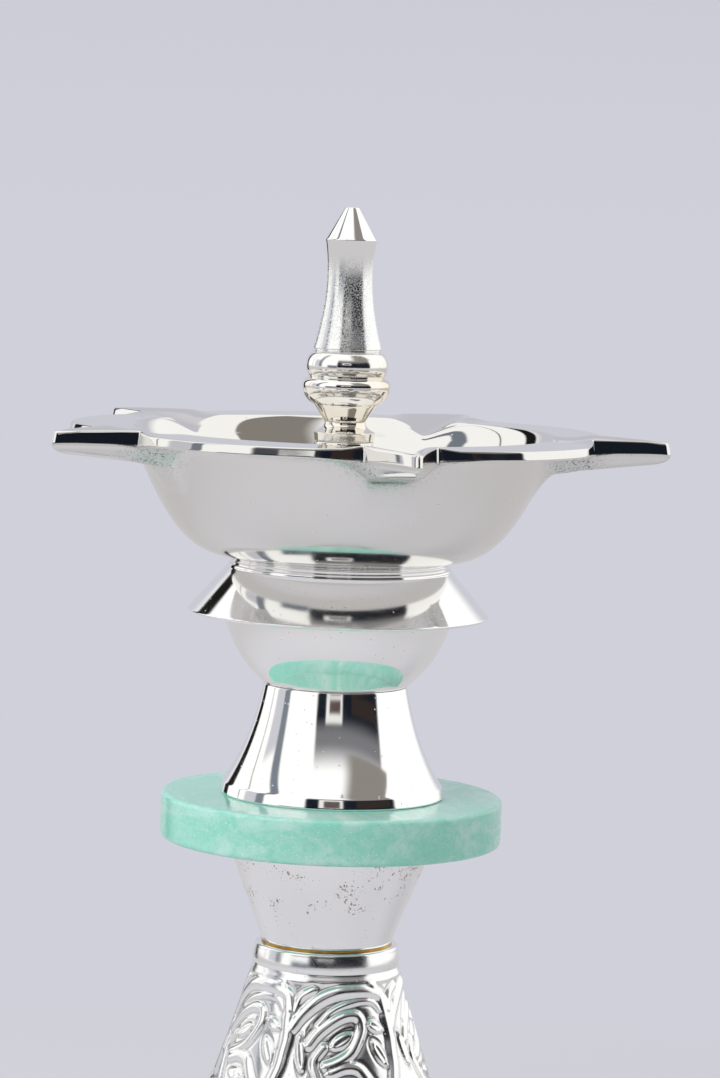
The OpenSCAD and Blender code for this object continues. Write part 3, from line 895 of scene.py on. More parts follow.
@dataclass
class Finial(TurnedPiece):
    """Turned finial: foot, neck, cup, two rings, a hollow-sided waist and a blunt point."""

    closed: bool = False
    soften: float = 0.10
    samples: int = 260
    stud_r: float = 3.05
    stud_h: float = 9.0
    foot_r: float = 6.8
    foot_h: float = 2.0
    neck_r: float = 4.55
    neck_z: float = 4.4
    ring_low_z: float = 12.4
    ring_high_r: float = 9.0
    ring_high_z: float = 17.2
    waist_foot_r: float = 7.7
    waist_foot_z: float = 20.6
    waist_r: float = 4.95
    ridge_r: float = 5.8
    point_h: float = 7.1
    point_r: float = 1.55

    def outline(self) -> np.ndarray:
        """Gives the stud's hole, then every moulding from the foot to the point.

        Returns:
            Radius and height of its corners, in millimetres.
        """
        low, high, ring = levels(self.node)
        cup_z = self.neck_z + 3.8
        cup_r = 0.5 * (self.neck_r + ring)
        groove_z = 0.5 * (self.ring_low_z + self.ring_high_z) - 0.6
        ridge_z = high - low - self.point_h
        waist_h = ridge_z - self.waist_foot_z
        shape = chain(
            (0.0, self.stud_h), (self.stud_r, self.stud_h), (self.stud_r, 0.0), (self.foot_r - 0.2, 0.0),
            curve((self.foot_r, self.foot_h), (self.neck_r + 0.9, self.foot_h + 0.6),
                  (self.neck_r, self.foot_h + 1.2), (self.neck_r, self.neck_z)),
            (cup_r - 0.4, cup_z - 0.4),
            curve((cup_r, cup_z), (ring - 1.2, cup_z + 0.5), (ring, self.ring_low_z - 2.0),
                  (ring, self.ring_low_z)),
            curve((ring, self.ring_low_z), (ring, self.ring_low_z + 1.0), (ring - 0.8, groove_z - 0.3),
                  (self.ring_high_r - 0.7, groove_z)),
            curve((self.ring_high_r - 0.7, groove_z + 0.05), (self.ring_high_r + 0.35, groove_z + 1.2),
                  (self.ring_high_r + 0.55, self.ring_high_z + 0.7),
                  (self.ring_high_r - 0.9, self.ring_high_z + 2.35)),
            (self.waist_foot_r - 0.5, self.waist_foot_z - 0.6),
            curve((self.waist_foot_r, self.waist_foot_z),
                  (self.waist_r + 0.7, self.waist_foot_z + 0.3 * waist_h),
                  (self.waist_r - 0.8, self.waist_foot_z + 0.62 * waist_h), (self.ridge_r, ridge_z)),
            (self.point_r, high - low), (0.0, high - low))
        return shape + (0.0, low)


@dataclass
class ThreadedBar:
    """A rod or stud with a rolled thread.

    Its radius follows a zigzag of the height less the angle's share of one pitch, so that the crests
    climb as a helix, and the ends taper to the root.
    """

    node: str
    pitch: float
    finish: Material
    body: Body
    depth_share: float = 0.55
    steps_per_turn: int = 8
    turns: int = 40

    def build(self) -> Object:
        """Builds the thread as radius over angle and height, with a flat end on each side.

        Returns:
            The bar.
        """
        low, high, crest = levels(self.node)
        depth = self.depth_share * self.pitch
        rows = int((high - low) / self.pitch * self.steps_per_turn)
        z = np.linspace(low, high, rows)[:, None]
        angles = full_turn(self.turns)
        phase = (z / self.pitch - angles[None, :] / (2.0 * np.pi)) % 1.0
        taper = np.clip(np.minimum(z - low, high - z) / self.pitch, 0.0, 1.0)
        radius = crest - depth + depth * taper * np.abs(2.0 * phase - 1.0)
        piece = make_piece(self.node + "_threaded", around(radius, z, angles), closed=False)
        return dress(piece, self.node, self.body, self.finish)


@dataclass(frozen=True)
class Ridge:
    """A raised stroke of the relief: a route in degrees and in heights, with its half width and rise."""

    route: tuple[tuple[float, float], ...]
    half_w: float
    rise: float

    def line(self, count: int = 26) -> np.ndarray:
        """Gives points on a smooth curve through the route.

        Between two points the curve is a cubic whose slope at each is that of the line between its
        two neighbours.

        Args:
            count: Number of points.

        Returns:
            An array of count points, their angles in radians.
        """
        p = np.array([(math.radians(x), y) for x, y in self.route])
        slope = np.gradient(p, axis=0)
        at = np.linspace(0.0, len(p) - 1.000001, count)
        i = at.astype(int)
        t = (at - i)[:, None]
        near = (1 + 2 * t) * (1 - t) ** 2 * p[i] + t * (1 - t) ** 2 * slope[i]
        return near + t * t * (3 - 2 * t) * p[i + 1] + t * t * (t - 1) * slope[i + 1]


@dataclass(frozen=True)
class Leaf:
    """A raised leaf of the relief with a slit along it: centre, half sizes in millimetres and tilt."""

    centre: tuple[float, float]
    half_l: float
    half_w: float
    tilt: float
    rise: float = 0.5


@dataclass(frozen=True)
class Tier:
    """One band of the relief: where it starts, how often it repeats and whether it runs backwards."""

    top: float
    bottom: float
    repeats: int
    offset: float
    backwards: bool


@dataclass
class Pedestal:
    """Bell-shaped shell with an embossed all-over pattern of scrolls and leaves under a plain neck band.

    The pattern is laid out in angle and in length over radius, which keeps its angles true on the
    widening bell, and is drawn as heights above the bell along its normal.
    """

    finish: Material
    node: str = "pedestal"
    skirt_r: float = 52.0
    neck_r: float = 16.2
    foot_pull: tuple[float, float] = (19.0, 35.0)
    neck_pull: tuple[float, float] = (3.0, 16.0)
    shoulder: tuple[float, float] = (0.7, 1.3)
    band_h: float = 5.0
    band_edge: float = 0.8
    wall: float = 1.6
    top_t: float = 3.0
    hole_r: float = 4.25
    rows: int = 176
    columns: int = 416
    ground: float = -0.12
    outline_w: float = 0.4
    outline_d: float = 0.16
    slit_w: float = 0.35
    slit_d: float = 0.25
    petals: int = 36
    petal_rise: float = 0.5
    fade: float = 0.05
    period: float = 72.0
    trunk_angle: float = -126.5
    ridges: tuple[Ridge, ...] = (
        Ridge(((2.2, .58), (8.8, .41), (20.2, .23), (33.4, .125), (48.4, .107), (60.9, .13), (69.0, .2),
               (72.5, .36)), 1.6, 0.62),
        Ridge(((15.1, .75), (20.6, .62), (29.6, .49), (39.1, .41), (47.8, .42), (50.2, .545), (47.1, .685),
               (41.2, .835), (33.4, .92), (26.3, .967)), 1.3, 0.6),
        Ridge(((20.6, .53), (30.8, .345), (46.5, .245), (60.0, .25), (66.5, .36)), 0.8, 0.3),
        Ridge(((24.6, .77), (19.3, .92), (22.1, 1.09), (26.9, 1.27)), 1.1, 0.5),
        Ridge(((28.8, 1.03), (37.8, .975), (45.7, 1.0), (51.6, 1.137), (57.0, 1.27)), 1.4, 0.58),
        Ridge(((-0.7, .46), (0.3, .685), (-0.8, .85), (-2.0, 1.015), (-6.8, 1.28)), 1.7, 0.62),
        Ridge(((3.2, .385), (6.9, .2), (15.6, .10)), 1.1, 0.5),
        Ridge(((-11.4, .01), (-4.3, .2), (-0.7, .46)), 1.2, 0.55),
    )
    leaves: tuple[Leaf, ...] = (
        Leaf((36.0, .70), 3.2, 1.5, -32.0),
        Leaf((60.7, .556), 2.4, 1.4, 25.0),
        Leaf((40.8, 1.165), 3.4, 1.6, 5.0),
        Leaf((10.8, .85), 4.3, 1.2, 80.0),
        Leaf((61.0, .86), 3.6, 1.5, 62.0),
    )
    tiers: tuple[Tier, ...] = (
        Tier(0.0, 1.27, 5, 0.0, False),
        Tier(1.27, 1.905, 10, 18.0, True),
        Tier(1.905, 2.54, 10, 0.0, False),
    )

    def bell(self) -> np.ndarray:
        """Gives the bell's outer line from the foot to the neck, spaced by length over radius.

        Returns:
            Radius, height and length over radius below the neck, row by row.
        """
        low, high, _ = levels(self.node)
        neck_low = high - self.band_h
        fine = curve((self.skirt_r, low), (self.skirt_r - self.foot_pull[0], low + self.foot_pull[1]),
                     (self.neck_r + self.neck_pull[0], neck_low - self.neck_pull[1]),
                     (self.neck_r + self.shoulder[0], neck_low - self.shoulder[1]), 2000)
        spread = running_total(np.hypot(*np.diff(fine, axis=0).T) / (0.5 * (fine[1:, 0] + fine[:-1, 0])))
        pick = np.linspace(0.0, spread[-1], self.rows)
        return np.column_stack([resample(fine, spread, pick), spread[-1] - pick])

    def tier_height(self, tier: Tier, angle: np.ndarray, down: np.ndarray, radius: np.ndarray) -> np.ndarray:
        """Gives one tier's heights in millimetres above the bell.

        A ridge rises as a low arch of the distance to its line, a leaf as a dome with a slit along
        it, and each has a groove round it where the punch drove the ground down.

        Args:
            tier: The tier.
            angle: Angles in radians, one row.
            down: Length over radius below the neck, one column.
            radius: The bell's radius, one column.

        Returns:
            Heights, rows by columns.
        """
        zoom = tier.repeats * self.period / 360.0
        period = math.radians(self.period)
        x = ((angle - math.radians(self.trunk_angle + tier.offset)) * zoom) % period
        if tier.backwards:
            x = period - x
        x = np.broadcast_to(x, (len(down), angle.shape[1]))
        y = np.broadcast_to((down - tier.top) * zoom, x.shape)
        size = radius / zoom
        high = np.full(x.shape, self.ground)
        cut = np.zeros(x.shape)
        for ridge in self.ridges:
            line = ridge.line()
            near = np.full(x.shape, np.inf)
            for shift in (-period, 0.0, period):
                start = line[:-1] + (shift, 0.0)
                run = line[1:] - line[:-1]
                for (sx, sy), (rx, ry) in zip(start, run):
                    t = np.clip(((x - sx) * rx + (y - sy) * ry) / (rx * rx + ry * ry), 0.0, 1.0)
                    near = np.minimum(near, np.hypot(x - sx - t * rx, y - sy - t * ry))
            near = near * size
            crown = ridge.rise * np.clip(1.0 - (near / ridge.half_w) ** 2, 0.0, 1.0)
            high = np.maximum(high, self.ground + crown)
            beside = (near - ridge.half_w - 0.5 * self.outline_w) / self.outline_w
            cut = np.maximum(cut, np.exp(-beside ** 2))
        for leaf in self.leaves:
            turn = math.radians(leaf.tilt)
            for shift in (-period, 0.0, period):
                dx = (x - math.radians(leaf.centre[0]) - shift) * size
                dy = (y - leaf.centre[1]) * size
                along = dx * math.cos(turn) + dy * math.sin(turn)
                across = -dx * math.sin(turn) + dy * math.cos(turn)
                width = leaf.half_w * (1.0 - np.clip(np.abs(along) / leaf.half_l, 0.0, 1.0) ** 2)
                least_w = 0.05
                inside = np.clip(1.0 - (across / np.maximum(width, least_w)) ** 2, 0.0, 1.0)
                slit = self.slit_d * np.exp(-(across / self.slit_w) ** 2)
                slit = slit * (np.abs(along) < 0.7 * leaf.half_l)
                dome = self.ground + leaf.rise * np.sqrt(inside) - slit
                high = np.maximum(high, np.where(width > least_w, dome, self.ground))
                off = np.hypot(along / leaf.half_l, across / leaf.half_w)
                cut = np.maximum(cut, np.exp(-((off - 1.15) / 0.16) ** 2))
        bare = smooth_step(self.ground + 0.2 - high, 0.0, 0.18)
        return high - self.outline_d * cut * bare

    def border_height(self, angle: np.ndarray, down: np.ndarray, top: float, bottom: float) -> np.ndarray:
        """Gives the border above the foot: upright petals, each a dome as wide as a share of the circle.

        Args:
            angle: Angles in radians, one row.
            down: Length over radius below the neck, one column.
            top: Where the border starts, in the same measure.
            bottom: Where it ends.

        Returns:
            Heights in millimetres, rows by columns.
        """
        share = (down - top) / (bottom - top)
        across = np.abs(((angle * self.petals / (2.0 * np.pi)) % 1.0) - 0.5) * 2.0
        edge = np.sqrt(np.clip(1.0 - (1.0 - np.clip(share * 1.6, 0.0, 1.0)) ** 2, 0.0, 1.0)) * 0.9
        dome = np.sqrt(np.clip(1.0 - (across / np.maximum(edge, 0.02)) ** 2, 0.0, 1.0))
        return self.ground + self.petal_rise * dome * smooth_step(share, 0.02, 0.15)

    def relief(self, angle: np.ndarray, shape: np.ndarray) -> np.ndarray:
        """Gives the whole relief, tier by tier, faded out at the neck and at the foot.

        Args:
            angle: Angles in radians, one row.
            shape: Radius, height and length over radius below the neck, row by row.

        Returns:
            Heights in millimetres, rows by columns.
        """
        down, radius = shape[:, 2:3], shape[:, :1]
        high = np.full((len(shape), angle.shape[1]), self.ground)
        for tier in self.tiers:
            band = ((down >= tier.top) & (down < tier.bottom))[:, 0]
            high[band] = self.tier_height(tier, angle, down[band], radius[band])
        border = (down[:, 0] >= self.tiers[-1].bottom)
        foot = float(down.max())
        high[border] = self.border_height(angle, down[border], self.tiers[-1].bottom, foot)
        return high * smooth_step(down, 0.0, self.fade) * (1.0 - smooth_step(down, foot - self.fade, foot))

    def build(self) -> Object:
        """Builds the relief, the neck band, the drilled top and the plain inside as one closed piece.

        Returns:
            The pedestal.
        """
        _, high, _ = levels(self.node)
        shape = self.bell()
        angles = full_turn(self.columns)
        rise = self.relief(angles[None, :], shape)
        tangent = np.gradient(shape[:, :2], axis=0)
        normal = np.column_stack([tangent[:, 1], -tangent[:, 0]])
        normal /= np.linalg.norm(normal, axis=1, keepdims=True)
        radius = shape[:, :1] + rise * normal[:, :1]
        height = shape[:, 1:2] + rise * normal[:, 1:]
        neck_low = high - self.band_h
        ceiling = high - self.top_t
        inner_r = self.neck_r - self.wall
        foot = (self.neck_r + self.shoulder[0], neck_low - self.shoulder[1])
        waist = (self.neck_r + 0.1, neck_low + 0.5)
        edge = (self.neck_r - 0.1, high - self.band_edge)
        cove = curve(foot, (self.neck_r + 0.6, neck_low - 0.7), (waist[0], neck_low - 0.1), waist, 9)
        bulge = curve(waist, (waist[0] + 0.4, neck_low + 1.2), (edge[0] + 0.35, neck_low + 2.6), edge, 16)
        band = chain(cove[1:], bulge[1:],
                     arc((edge[0] - self.band_edge, edge[1]), self.band_edge, 12.0, 90.0, 9),
                     (self.neck_r - 1.2, high), (self.hole_r + 0.2, high), (self.hole_r, high - 0.2),
                     (self.hole_r, ceiling), (inner_r - 0.3, ceiling), (inner_r, ceiling - 0.3),
                     (inner_r, neck_low))
        inside = shape[::-8, :2] - (self.wall, 0.0)
        outside = around(radius, height, angles)
        grid = np.concatenate([outside, revolve(band, angles), revolve(inside, angles)])
        # Groove mask: where the embossed finish paints shade into the grooves
        groove = np.zeros(grid.shape[:2])
        groove[:len(shape)] = smooth_step(-rise, 0.14, 0.3)
        piece = make_piece("pedestal_embossed", grid, closed=True, marks={"groove": groove})
        return dress(piece, self.node, Body.STEM, self.finish)


@dataclass
class Bowl:
    """Cast bowl with five wick spouts, a post in its middle and a boss underneath.

    The casting is one surface over angle and run. Plain rows are turned. Rows of the flange are two
    heights over the plan, one for the underside and one for the top, and reach out to an outline whose
    radius depends on the angle: the lobes of the flange, or a pointed tongue wherever a spout stands.
    """

    finish: Material
    node: str = "bowl"
    spouts: int = 5
    columns_per_spout: int = 104
    underside_z: float = 180.5
    rim_z: float = 28.2
    floor_z: float = 2.2
    foot_r: float = 26.6
    wall_r: float = 46.4
    wall_z: float = 23.5
    lobe_reach: float = 61.4
    lobe_r: float = 36.0
    flange_t: float = 2.2
    rim_r: float = 46.6
    post_r: float = 6.6
    post_z: float = 25.8
    boss_r: float = 8.0
    boss_mid: float = -9.0
    boss_low: float = -18.1
    rod_r: float = 4.05
    rod_top: float = -0.1
    stud_r: float = 3.05
    stud_low: float = 16.8
    root_x: float = 55.4
    root_half_w: float = 8.1
    tip_half_w: float = 0.6
    spout_rise: float = 0.8
    ramp: float = 6.0
    side_h: float = 3.8
    flank_angle: float = 50.0
    keel_root_d: float = 7.0
    keel_tip_d: float = 5.3
    nose_r: float = 2.0
    root_thick: float = 0.7
    channel_half_w: float = 7.6
    channel_root_d: float = 3.2
    channel_tip_d: float = 0.25
    channel_round: float = 0.6
    draft: float = 0.38
    edge_top_r: float = 0.28
    spout_top_r: float = 0.25
    edge_low_r: float = 0.35
    tip_round: float = 0.75
    crease_round: float = 0.3
    hull_low_z: float = 15.0
    flange_in: float = 51.0
    blend_span: tuple[float, float] = (48.0, 58.0)
    blend_in: float = 8.0
    blend_out: float = 1.0
    tongue_blend: float = 1.7
    corner_blend: float = 0.6
    keel_blend: float = 1.1
    lip_blend: float = 0.9
    mouth_blend: float = 2.6
    uneven: float = 0.12
    crowding: float = 1.8

    def columns(self) -> np.ndarray:
        """Gives the angles of the columns, closest together along the spouts.

        The columns share out the integral of a density that is high over a spout and peaks in the
        corners at its root.

        Returns:
            Angles in radians.
        """
        half = 180.0 / self.spouts
        root = math.degrees(math.atan2(self.root_half_w, self.root_x))
        fine = np.linspace(-half, half, 4001)
        off = np.abs(fine)
        corner = np.exp(-((off - root) / 0.7) ** 2)
        density = 1.0 + 8.0 * (1.0 - smooth_step(off, root, root + 2.5)) + 6.0 * corner
        total = running_total(0.5 * (density[1:] + density[:-1]))
        pick = np.linspace(0.0, total[-1], self.columns_per_spout, endpoint=False)
        local = np.interp(pick, total, fine)
        starts = -90.0 + np.arange(self.spouts) * 2.0 * half
        return np.radians((starts[:, None] + local).ravel())

    def off_spout(self, angle: np.ndarray) -> np.ndarray:
        """Gives the angle from the nearest spout's middle, in radians."""
        step = 2.0 * np.pi / self.spouts
        return (angle + 0.5 * np.pi + 0.5 * step) % step - 0.5 * step

    def tip_r(self) -> float:
        """Gives the spout tips' radius from the node's box: one tip lies on -Y."""
        low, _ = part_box(self.node)
        return -low.y / MM

    def taper(self) -> float:
        """Gives how much a spout's half width shrinks per millimetre towards its tip."""
        return (self.root_half_w - self.tip_half_w) / (self.tip_r() - self.root_x)

    def edge_radius(self, angle: np.ndarray) -> np.ndarray:
        """Gives the outline's radius: a lobe of the flange or a spout's tongue, with hollow corners.

        The tongue is a blunt front and two straight sides, each written as a radius over the angle, and
        the lesser counts. A lobe is a circle about a point between two spouts, filed a little uneven.

        Args:
            angle: The columns' angles in radians.

        Returns:
            Radii in millimetres.
        """
        off = np.abs(self.off_spout(angle))
        taper = self.taper()
        front = self.tip_r() / np.cos(off)
        side = (self.root_half_w + taper * self.root_x) / (np.sin(off) + taper * np.cos(off))
        tongue = np.minimum(smooth_min(front, side, self.tongue_blend), front)
        from_lobe = np.pi / self.spouts - off
        away = self.lobe_reach - self.lobe_r
        lobe = away * np.cos(from_lobe) + np.sqrt(self.lobe_r ** 2 - (away * np.sin(from_lobe)) ** 2)
        filed = self.uneven * (np.sin(11.0 * angle + 0.7) + np.sin(17.0 * angle + 2.1) - 2.0)
        return smooth_max(tongue, lobe + filed, self.corner_blend)

    def edge_lean(self, angle: np.ndarray, edge: np.ndarray) -> np.ndarray:
        """Gives the cosine between the outline's normal and the radius, from the outline's slope."""
        slope = np.gradient(edge, np.unwrap(angle))
        return 1.0 / np.sqrt(1.0 + (slope / edge) ** 2)

    def plan(self, radius: np.ndarray, angle: np.ndarray) -> tuple[np.ndarray, np.ndarray]:
        """Gives the place along and across the nearest spout."""
        off = self.off_spout(angle)
        return radius * np.cos(off), radius * np.sin(off)

    def hull(self, along: np.ndarray, across: np.ndarray) -> np.ndarray:
        """Gives the height of a spout's underside: two flanks, a keel that climbs, and a round nose.

        A flank falls evenly with the distance inwards from the side's line, and the keel is a plane
        that ends in a quarter round. The higher of them counts, with a rounded meeting line.

        Args:
            along: Millimetres from the axis along the spout.
            across: Millimetres to the side of its middle.

        Returns:
            Heights in millimetres above the bowl's foot.
        """
        top = self.rim_z + self.spout_rise
        tip, taper = self.tip_r(), self.taper()
        width = np.abs(across)
        tapered = (self.root_half_w + taper * (self.root_x - along) - width) / math.hypot(1.0, taper)
        inside = np.minimum(tapered, self.root_half_w - width)
        flank = top - self.side_h - math.tan(math.radians(self.flank_angle)) * inside
        slope = (self.keel_root_d - self.keel_tip_d) / (tip - self.root_x)
        keel = top - self.keel_tip_d - slope * (tip - along) + quarter_round(tip - along, self.nose_r)
        return smooth_max(flank, keel, self.keel_blend)

    def near_root(self, along: np.ndarray, across: np.ndarray) -> np.ndarray:
        """Gives 1 beside a spout's root, falling to 0 along the lobe and down the wall."""
        return smooth_step(along, self.wall_r - 4.0, self.wall_r + 4.0) * (1.0 - smooth_step(
            np.abs(across), self.root_half_w - 0.5, 2.6 * self.root_half_w))

    def outer_wall(self) -> np.ndarray:
        """Gives the turned outer line from the foot, up the wall, through the fillet to the flange.

        Returns:
            Radius and height, row by row.
        """
        fillet = self.flange_t + 2.5
        under = self.rim_z - self.flange_t
        wall = curve((self.foot_r, 0.0), (self.foot_r + 8.2, 1.0), (self.wall_r - 6.8, 0.285 * self.rim_z),
                     (self.wall_r, self.wall_z), 64)
        turn = curve((self.wall_r, self.wall_z), (self.wall_r + 1.1, self.wall_z + 2.3),
                     (self.wall_r + 0.5 * fillet, under), (self.wall_r + fillet, under), 20)
        return chain(wall, turn[1:], (self.tip_r() + 1.0, under))

    def inner_wall(self) -> np.ndarray:
        """Gives the turned inner line from the rim down to the floor.

        Returns:
            Radius and height, row by row.
        """
        wall_r = self.rim_r - 2.6
        floor_r = self.foot_r - 2.4
        wall = curve((floor_r, self.floor_z), (floor_r + 11.2, self.floor_z + 0.2),
                     (wall_r - 6.8, 0.36 * self.rim_z), (wall_r, self.wall_z), 64)
        flare = curve((wall_r, self.wall_z), (wall_r + 1.0, self.wall_z + 2.4),
                      (self.rim_r - 0.8, self.rim_z - 0.7), (self.rim_r, self.rim_z), 24)
        return chain(wall, flare[1:])[::-1]

    def underside(self, radius: np.ndarray, angle: np.ndarray, edge: np.ndarray,
                  lean: np.ndarray) -> np.ndarray:
        """Gives the underside's height: the turned wall and flange, or a spout's hull where it hangs lower.

        The flange thickens beside a spout. Near the outline the height rises along a quarter round of
        the distance to it, a larger one along a spout's side.

        Args:
            radius: Radii in millimetres, rows by columns.
            angle: The columns' angles in radians.
            edge: The outline's radius, column by column.
            lean: Cosine between the outline's normal and the radius, column by column.

        Returns:
            Heights in millimetres above the bowl's foot.
        """
        line = self.outer_wall()
        along, across = self.plan(radius, angle)
        turned = np.interp(radius, line[:, 0], line[:, 1])
        thicker = self.near_root(along, across) * smooth_step(radius, self.wall_r, self.flange_in)
        turned = turned - self.root_thick * thicker
        blend = self.blend_in - (self.blend_in - self.blend_out) * smooth_step(radius, *self.blend_span)
        height = smooth_min(turned, self.hull(along, across), blend)
        low_r = self.edge_low_r + self.crease_round * smooth_step(along, self.root_x, self.root_x + 4.0) * (
            1.0 - smooth_step(np.abs(across), self.root_half_w, self.root_half_w + 1.5))
        return height + quarter_round((edge - radius) * lean, low_r)

    def topside(self, radius: np.ndarray, angle: np.ndarray, edge: np.ndarray,
                lean: np.ndarray) -> np.ndarray:
        """Gives the top's height: the flat flange, raised at the spouts, cut by the wick channels.

        Near the outline the height falls along a quarter round of the distance to it, which grows at
        the tip.

        Args:
            radius: Radii in millimetres, rows by columns.
            angle: The columns' angles in radians.
            edge: The outline's radius, column by column.
            lean: Cosine between the outline's normal and the radius, column by column.

        Returns:
            Heights in millimetres above the bowl's foot.
        """
        along, across = self.plan(radius, angle)
        raised = smooth_step(along, self.root_x - self.ramp, self.root_x + 1.0)
        raised = raised * (1.0 - smooth_step(np.abs(across), self.root_half_w - 0.5, 1.6 * self.root_half_w))
        height = self.rim_z + self.spout_rise * raised
        top_r = self.edge_top_r + self.spout_top_r * raised
        top_r = top_r + self.tip_round * smooth_step(along, self.tip_r() - 6.0, self.tip_r() - 1.0)
        height = height - quarter_round((edge - radius) * lean, top_r)
        return smooth_min(height, self.channel(along, across), self.lip_blend)

    def channel(self, along: np.ndarray, across: np.ndarray) -> np.ndarray:
        """Gives the wick channel's height: a rounded vee whose floor climbs evenly from the rim to the tip.

        Args:
            along: Millimetres from the axis along the spout.
            across: Millimetres to the side of its middle.

        Returns:
            Heights in millimetres above the bowl's foot.
        """
        climb = (self.channel_root_d + self.spout_rise - self.channel_tip_d) / (self.tip_r() - self.rim_r)
        floor = self.rim_z - self.channel_root_d + climb * (along - self.rim_r)
        slope = (self.channel_root_d + self.channel_round) / self.channel_half_w
        return floor + np.hypot(slope * across, self.channel_round) - self.channel_round

    def build(self) -> Object:
        """Builds the rows from the rod's socket outwards, over the rim and in to the stud's hole.

        Returns:
            The bowl.
        """
        angle = self.columns()
        edge = self.edge_radius(angle)
        lean = self.edge_lean(angle, edge)
        outer = self.outer_wall()
        split = int(np.searchsorted(outer[:, 1], self.hull_low_z))
        below = chain((LEAST_R, self.rod_top), (self.rod_r, self.rod_top), (self.rod_r, self.boss_mid),
                      (self.rod_r, self.boss_low), (self.boss_r, self.boss_low), (self.boss_r, self.boss_mid),
                      (self.boss_r, 0.0), (15.0, 0.0), (24.0, 0.0), outer[:split:2])
        rise_r = outer[split:-1, 0]
        rise_r = rise_r[rise_r < self.flange_in][::2]
        fixed = np.broadcast_to(rise_r[:, None], (len(rise_r), len(angle)))
        t = np.linspace(0.0, 1.0, 17)[1:, None]
        outwards = rise_r[-1] + (edge - rise_r[-1]) * (1.0 - (1.0 - t) ** self.crowding)
        under_r = np.vstack([fixed, outwards])
        under_z = self.underside(under_r, angle, edge, lean)
        top_edge = edge - self.draft
        top_r = self.rim_r + (top_edge - self.rim_r) * (1.0 - t ** self.crowding)
        top_r = np.vstack([top_edge[None, :], top_r])
        top_z = self.topside(top_r, angle, top_edge, lean)
        rise = np.linspace(0.0, 1.0, 7)[1:-1, None]
        wall_z = under_z[-1] + (top_z[0] - under_z[-1]) * rise
        wall_r = edge - self.draft * rise
        inner = self.inner_wall()[1::2]
        inner_r = np.broadcast_to(inner[:, :1], (len(inner), len(angle)))
        along, across = self.plan(inner_r, angle)
        inner_z = smooth_min(np.broadcast_to(inner[:, 1:], inner_r.shape), self.channel(along, across),
                             self.mouth_blend)
        fillet = 1.2
        post_foot = self.post_r + fillet
        above = chain((18.0, self.floor_z), (12.0, self.floor_z), (post_foot, self.floor_z),
                      arc((post_foot, self.floor_z + fillet), fillet, -100.0, -180.0, 6), (self.post_r, 8.0),
                      (self.post_r, self.post_z - 0.4), (self.post_r - 0.1, self.post_z - 0.1),
                      (self.post_r - 0.4, self.post_z), (self.stud_r, self.post_z),
                      (self.stud_r, self.stud_low), (LEAST_R, self.stud_low))
        first, last = (np.repeat(rows[:, None], len(angle), axis=1) for rows in (below, above))
        radius = np.vstack([first[..., 0], under_r, wall_r, top_r, inner_r, last[..., 0]])
        height = np.vstack([first[..., 1], under_z, wall_z, top_z, inner_z, last[..., 1]])
        along, across = self.plan(radius, angle)
        rough = 1.0 - smooth_step(along, self.root_x - 2.0, self.root_x + 6.0)
        rough = rough * self.near_root(along, across)
        first_wall = len(below) + len(under_r)
        buffed = np.zeros_like(rough)
        rough[first_wall:], buffed[first_wall:] = 0.0, 1.0
        piece = make_piece("bowl_cast", around(radius, height + self.underside_z, angle), closed=False,
                           marks={"cast_rough": rough, "buffed": buffed})
        return dress(piece, self.node, Body.BOWL, self.finish)


@dataclass
class Fasteners:
    """The nuts, washers, rod and stud that hold the lamp together."""

    finish: Material
    rod_pitch: float = 1.25
    stud_pitch: float = 1.0

    def build(self) -> None:
        """Cuts the threads on the rod and the stud, and dresses the nuts and washers."""
        ThreadedBar("tie_rod", self.rod_pitch, self.finish, Body.STEM).build()
        ThreadedBar("finial_stud", self.stud_pitch, self.finish, Body.FINIAL).build()
        for name in ("hex_nuts", "flat_washers", "spring_washer"):
            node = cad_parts[name]
            node.data.materials.clear()
            node.data.materials.append(self.finish)
            LOG.info("%s: dressed", name)


# The stage


@dataclass(frozen=True)
class Card:
    """A panel of the studio as the silver sees it: a span of azimuth and elevation with soft edges.

    All numbers are degrees. An edge fades over twice its softness, and a soft_left of 0 stands for soft.
    """

    left: float
    right: float
    low: float
    high: float
    colour: str
    soft: float = 2.0
    soft_top: float = 2.0
    soft_left: float = 0.0


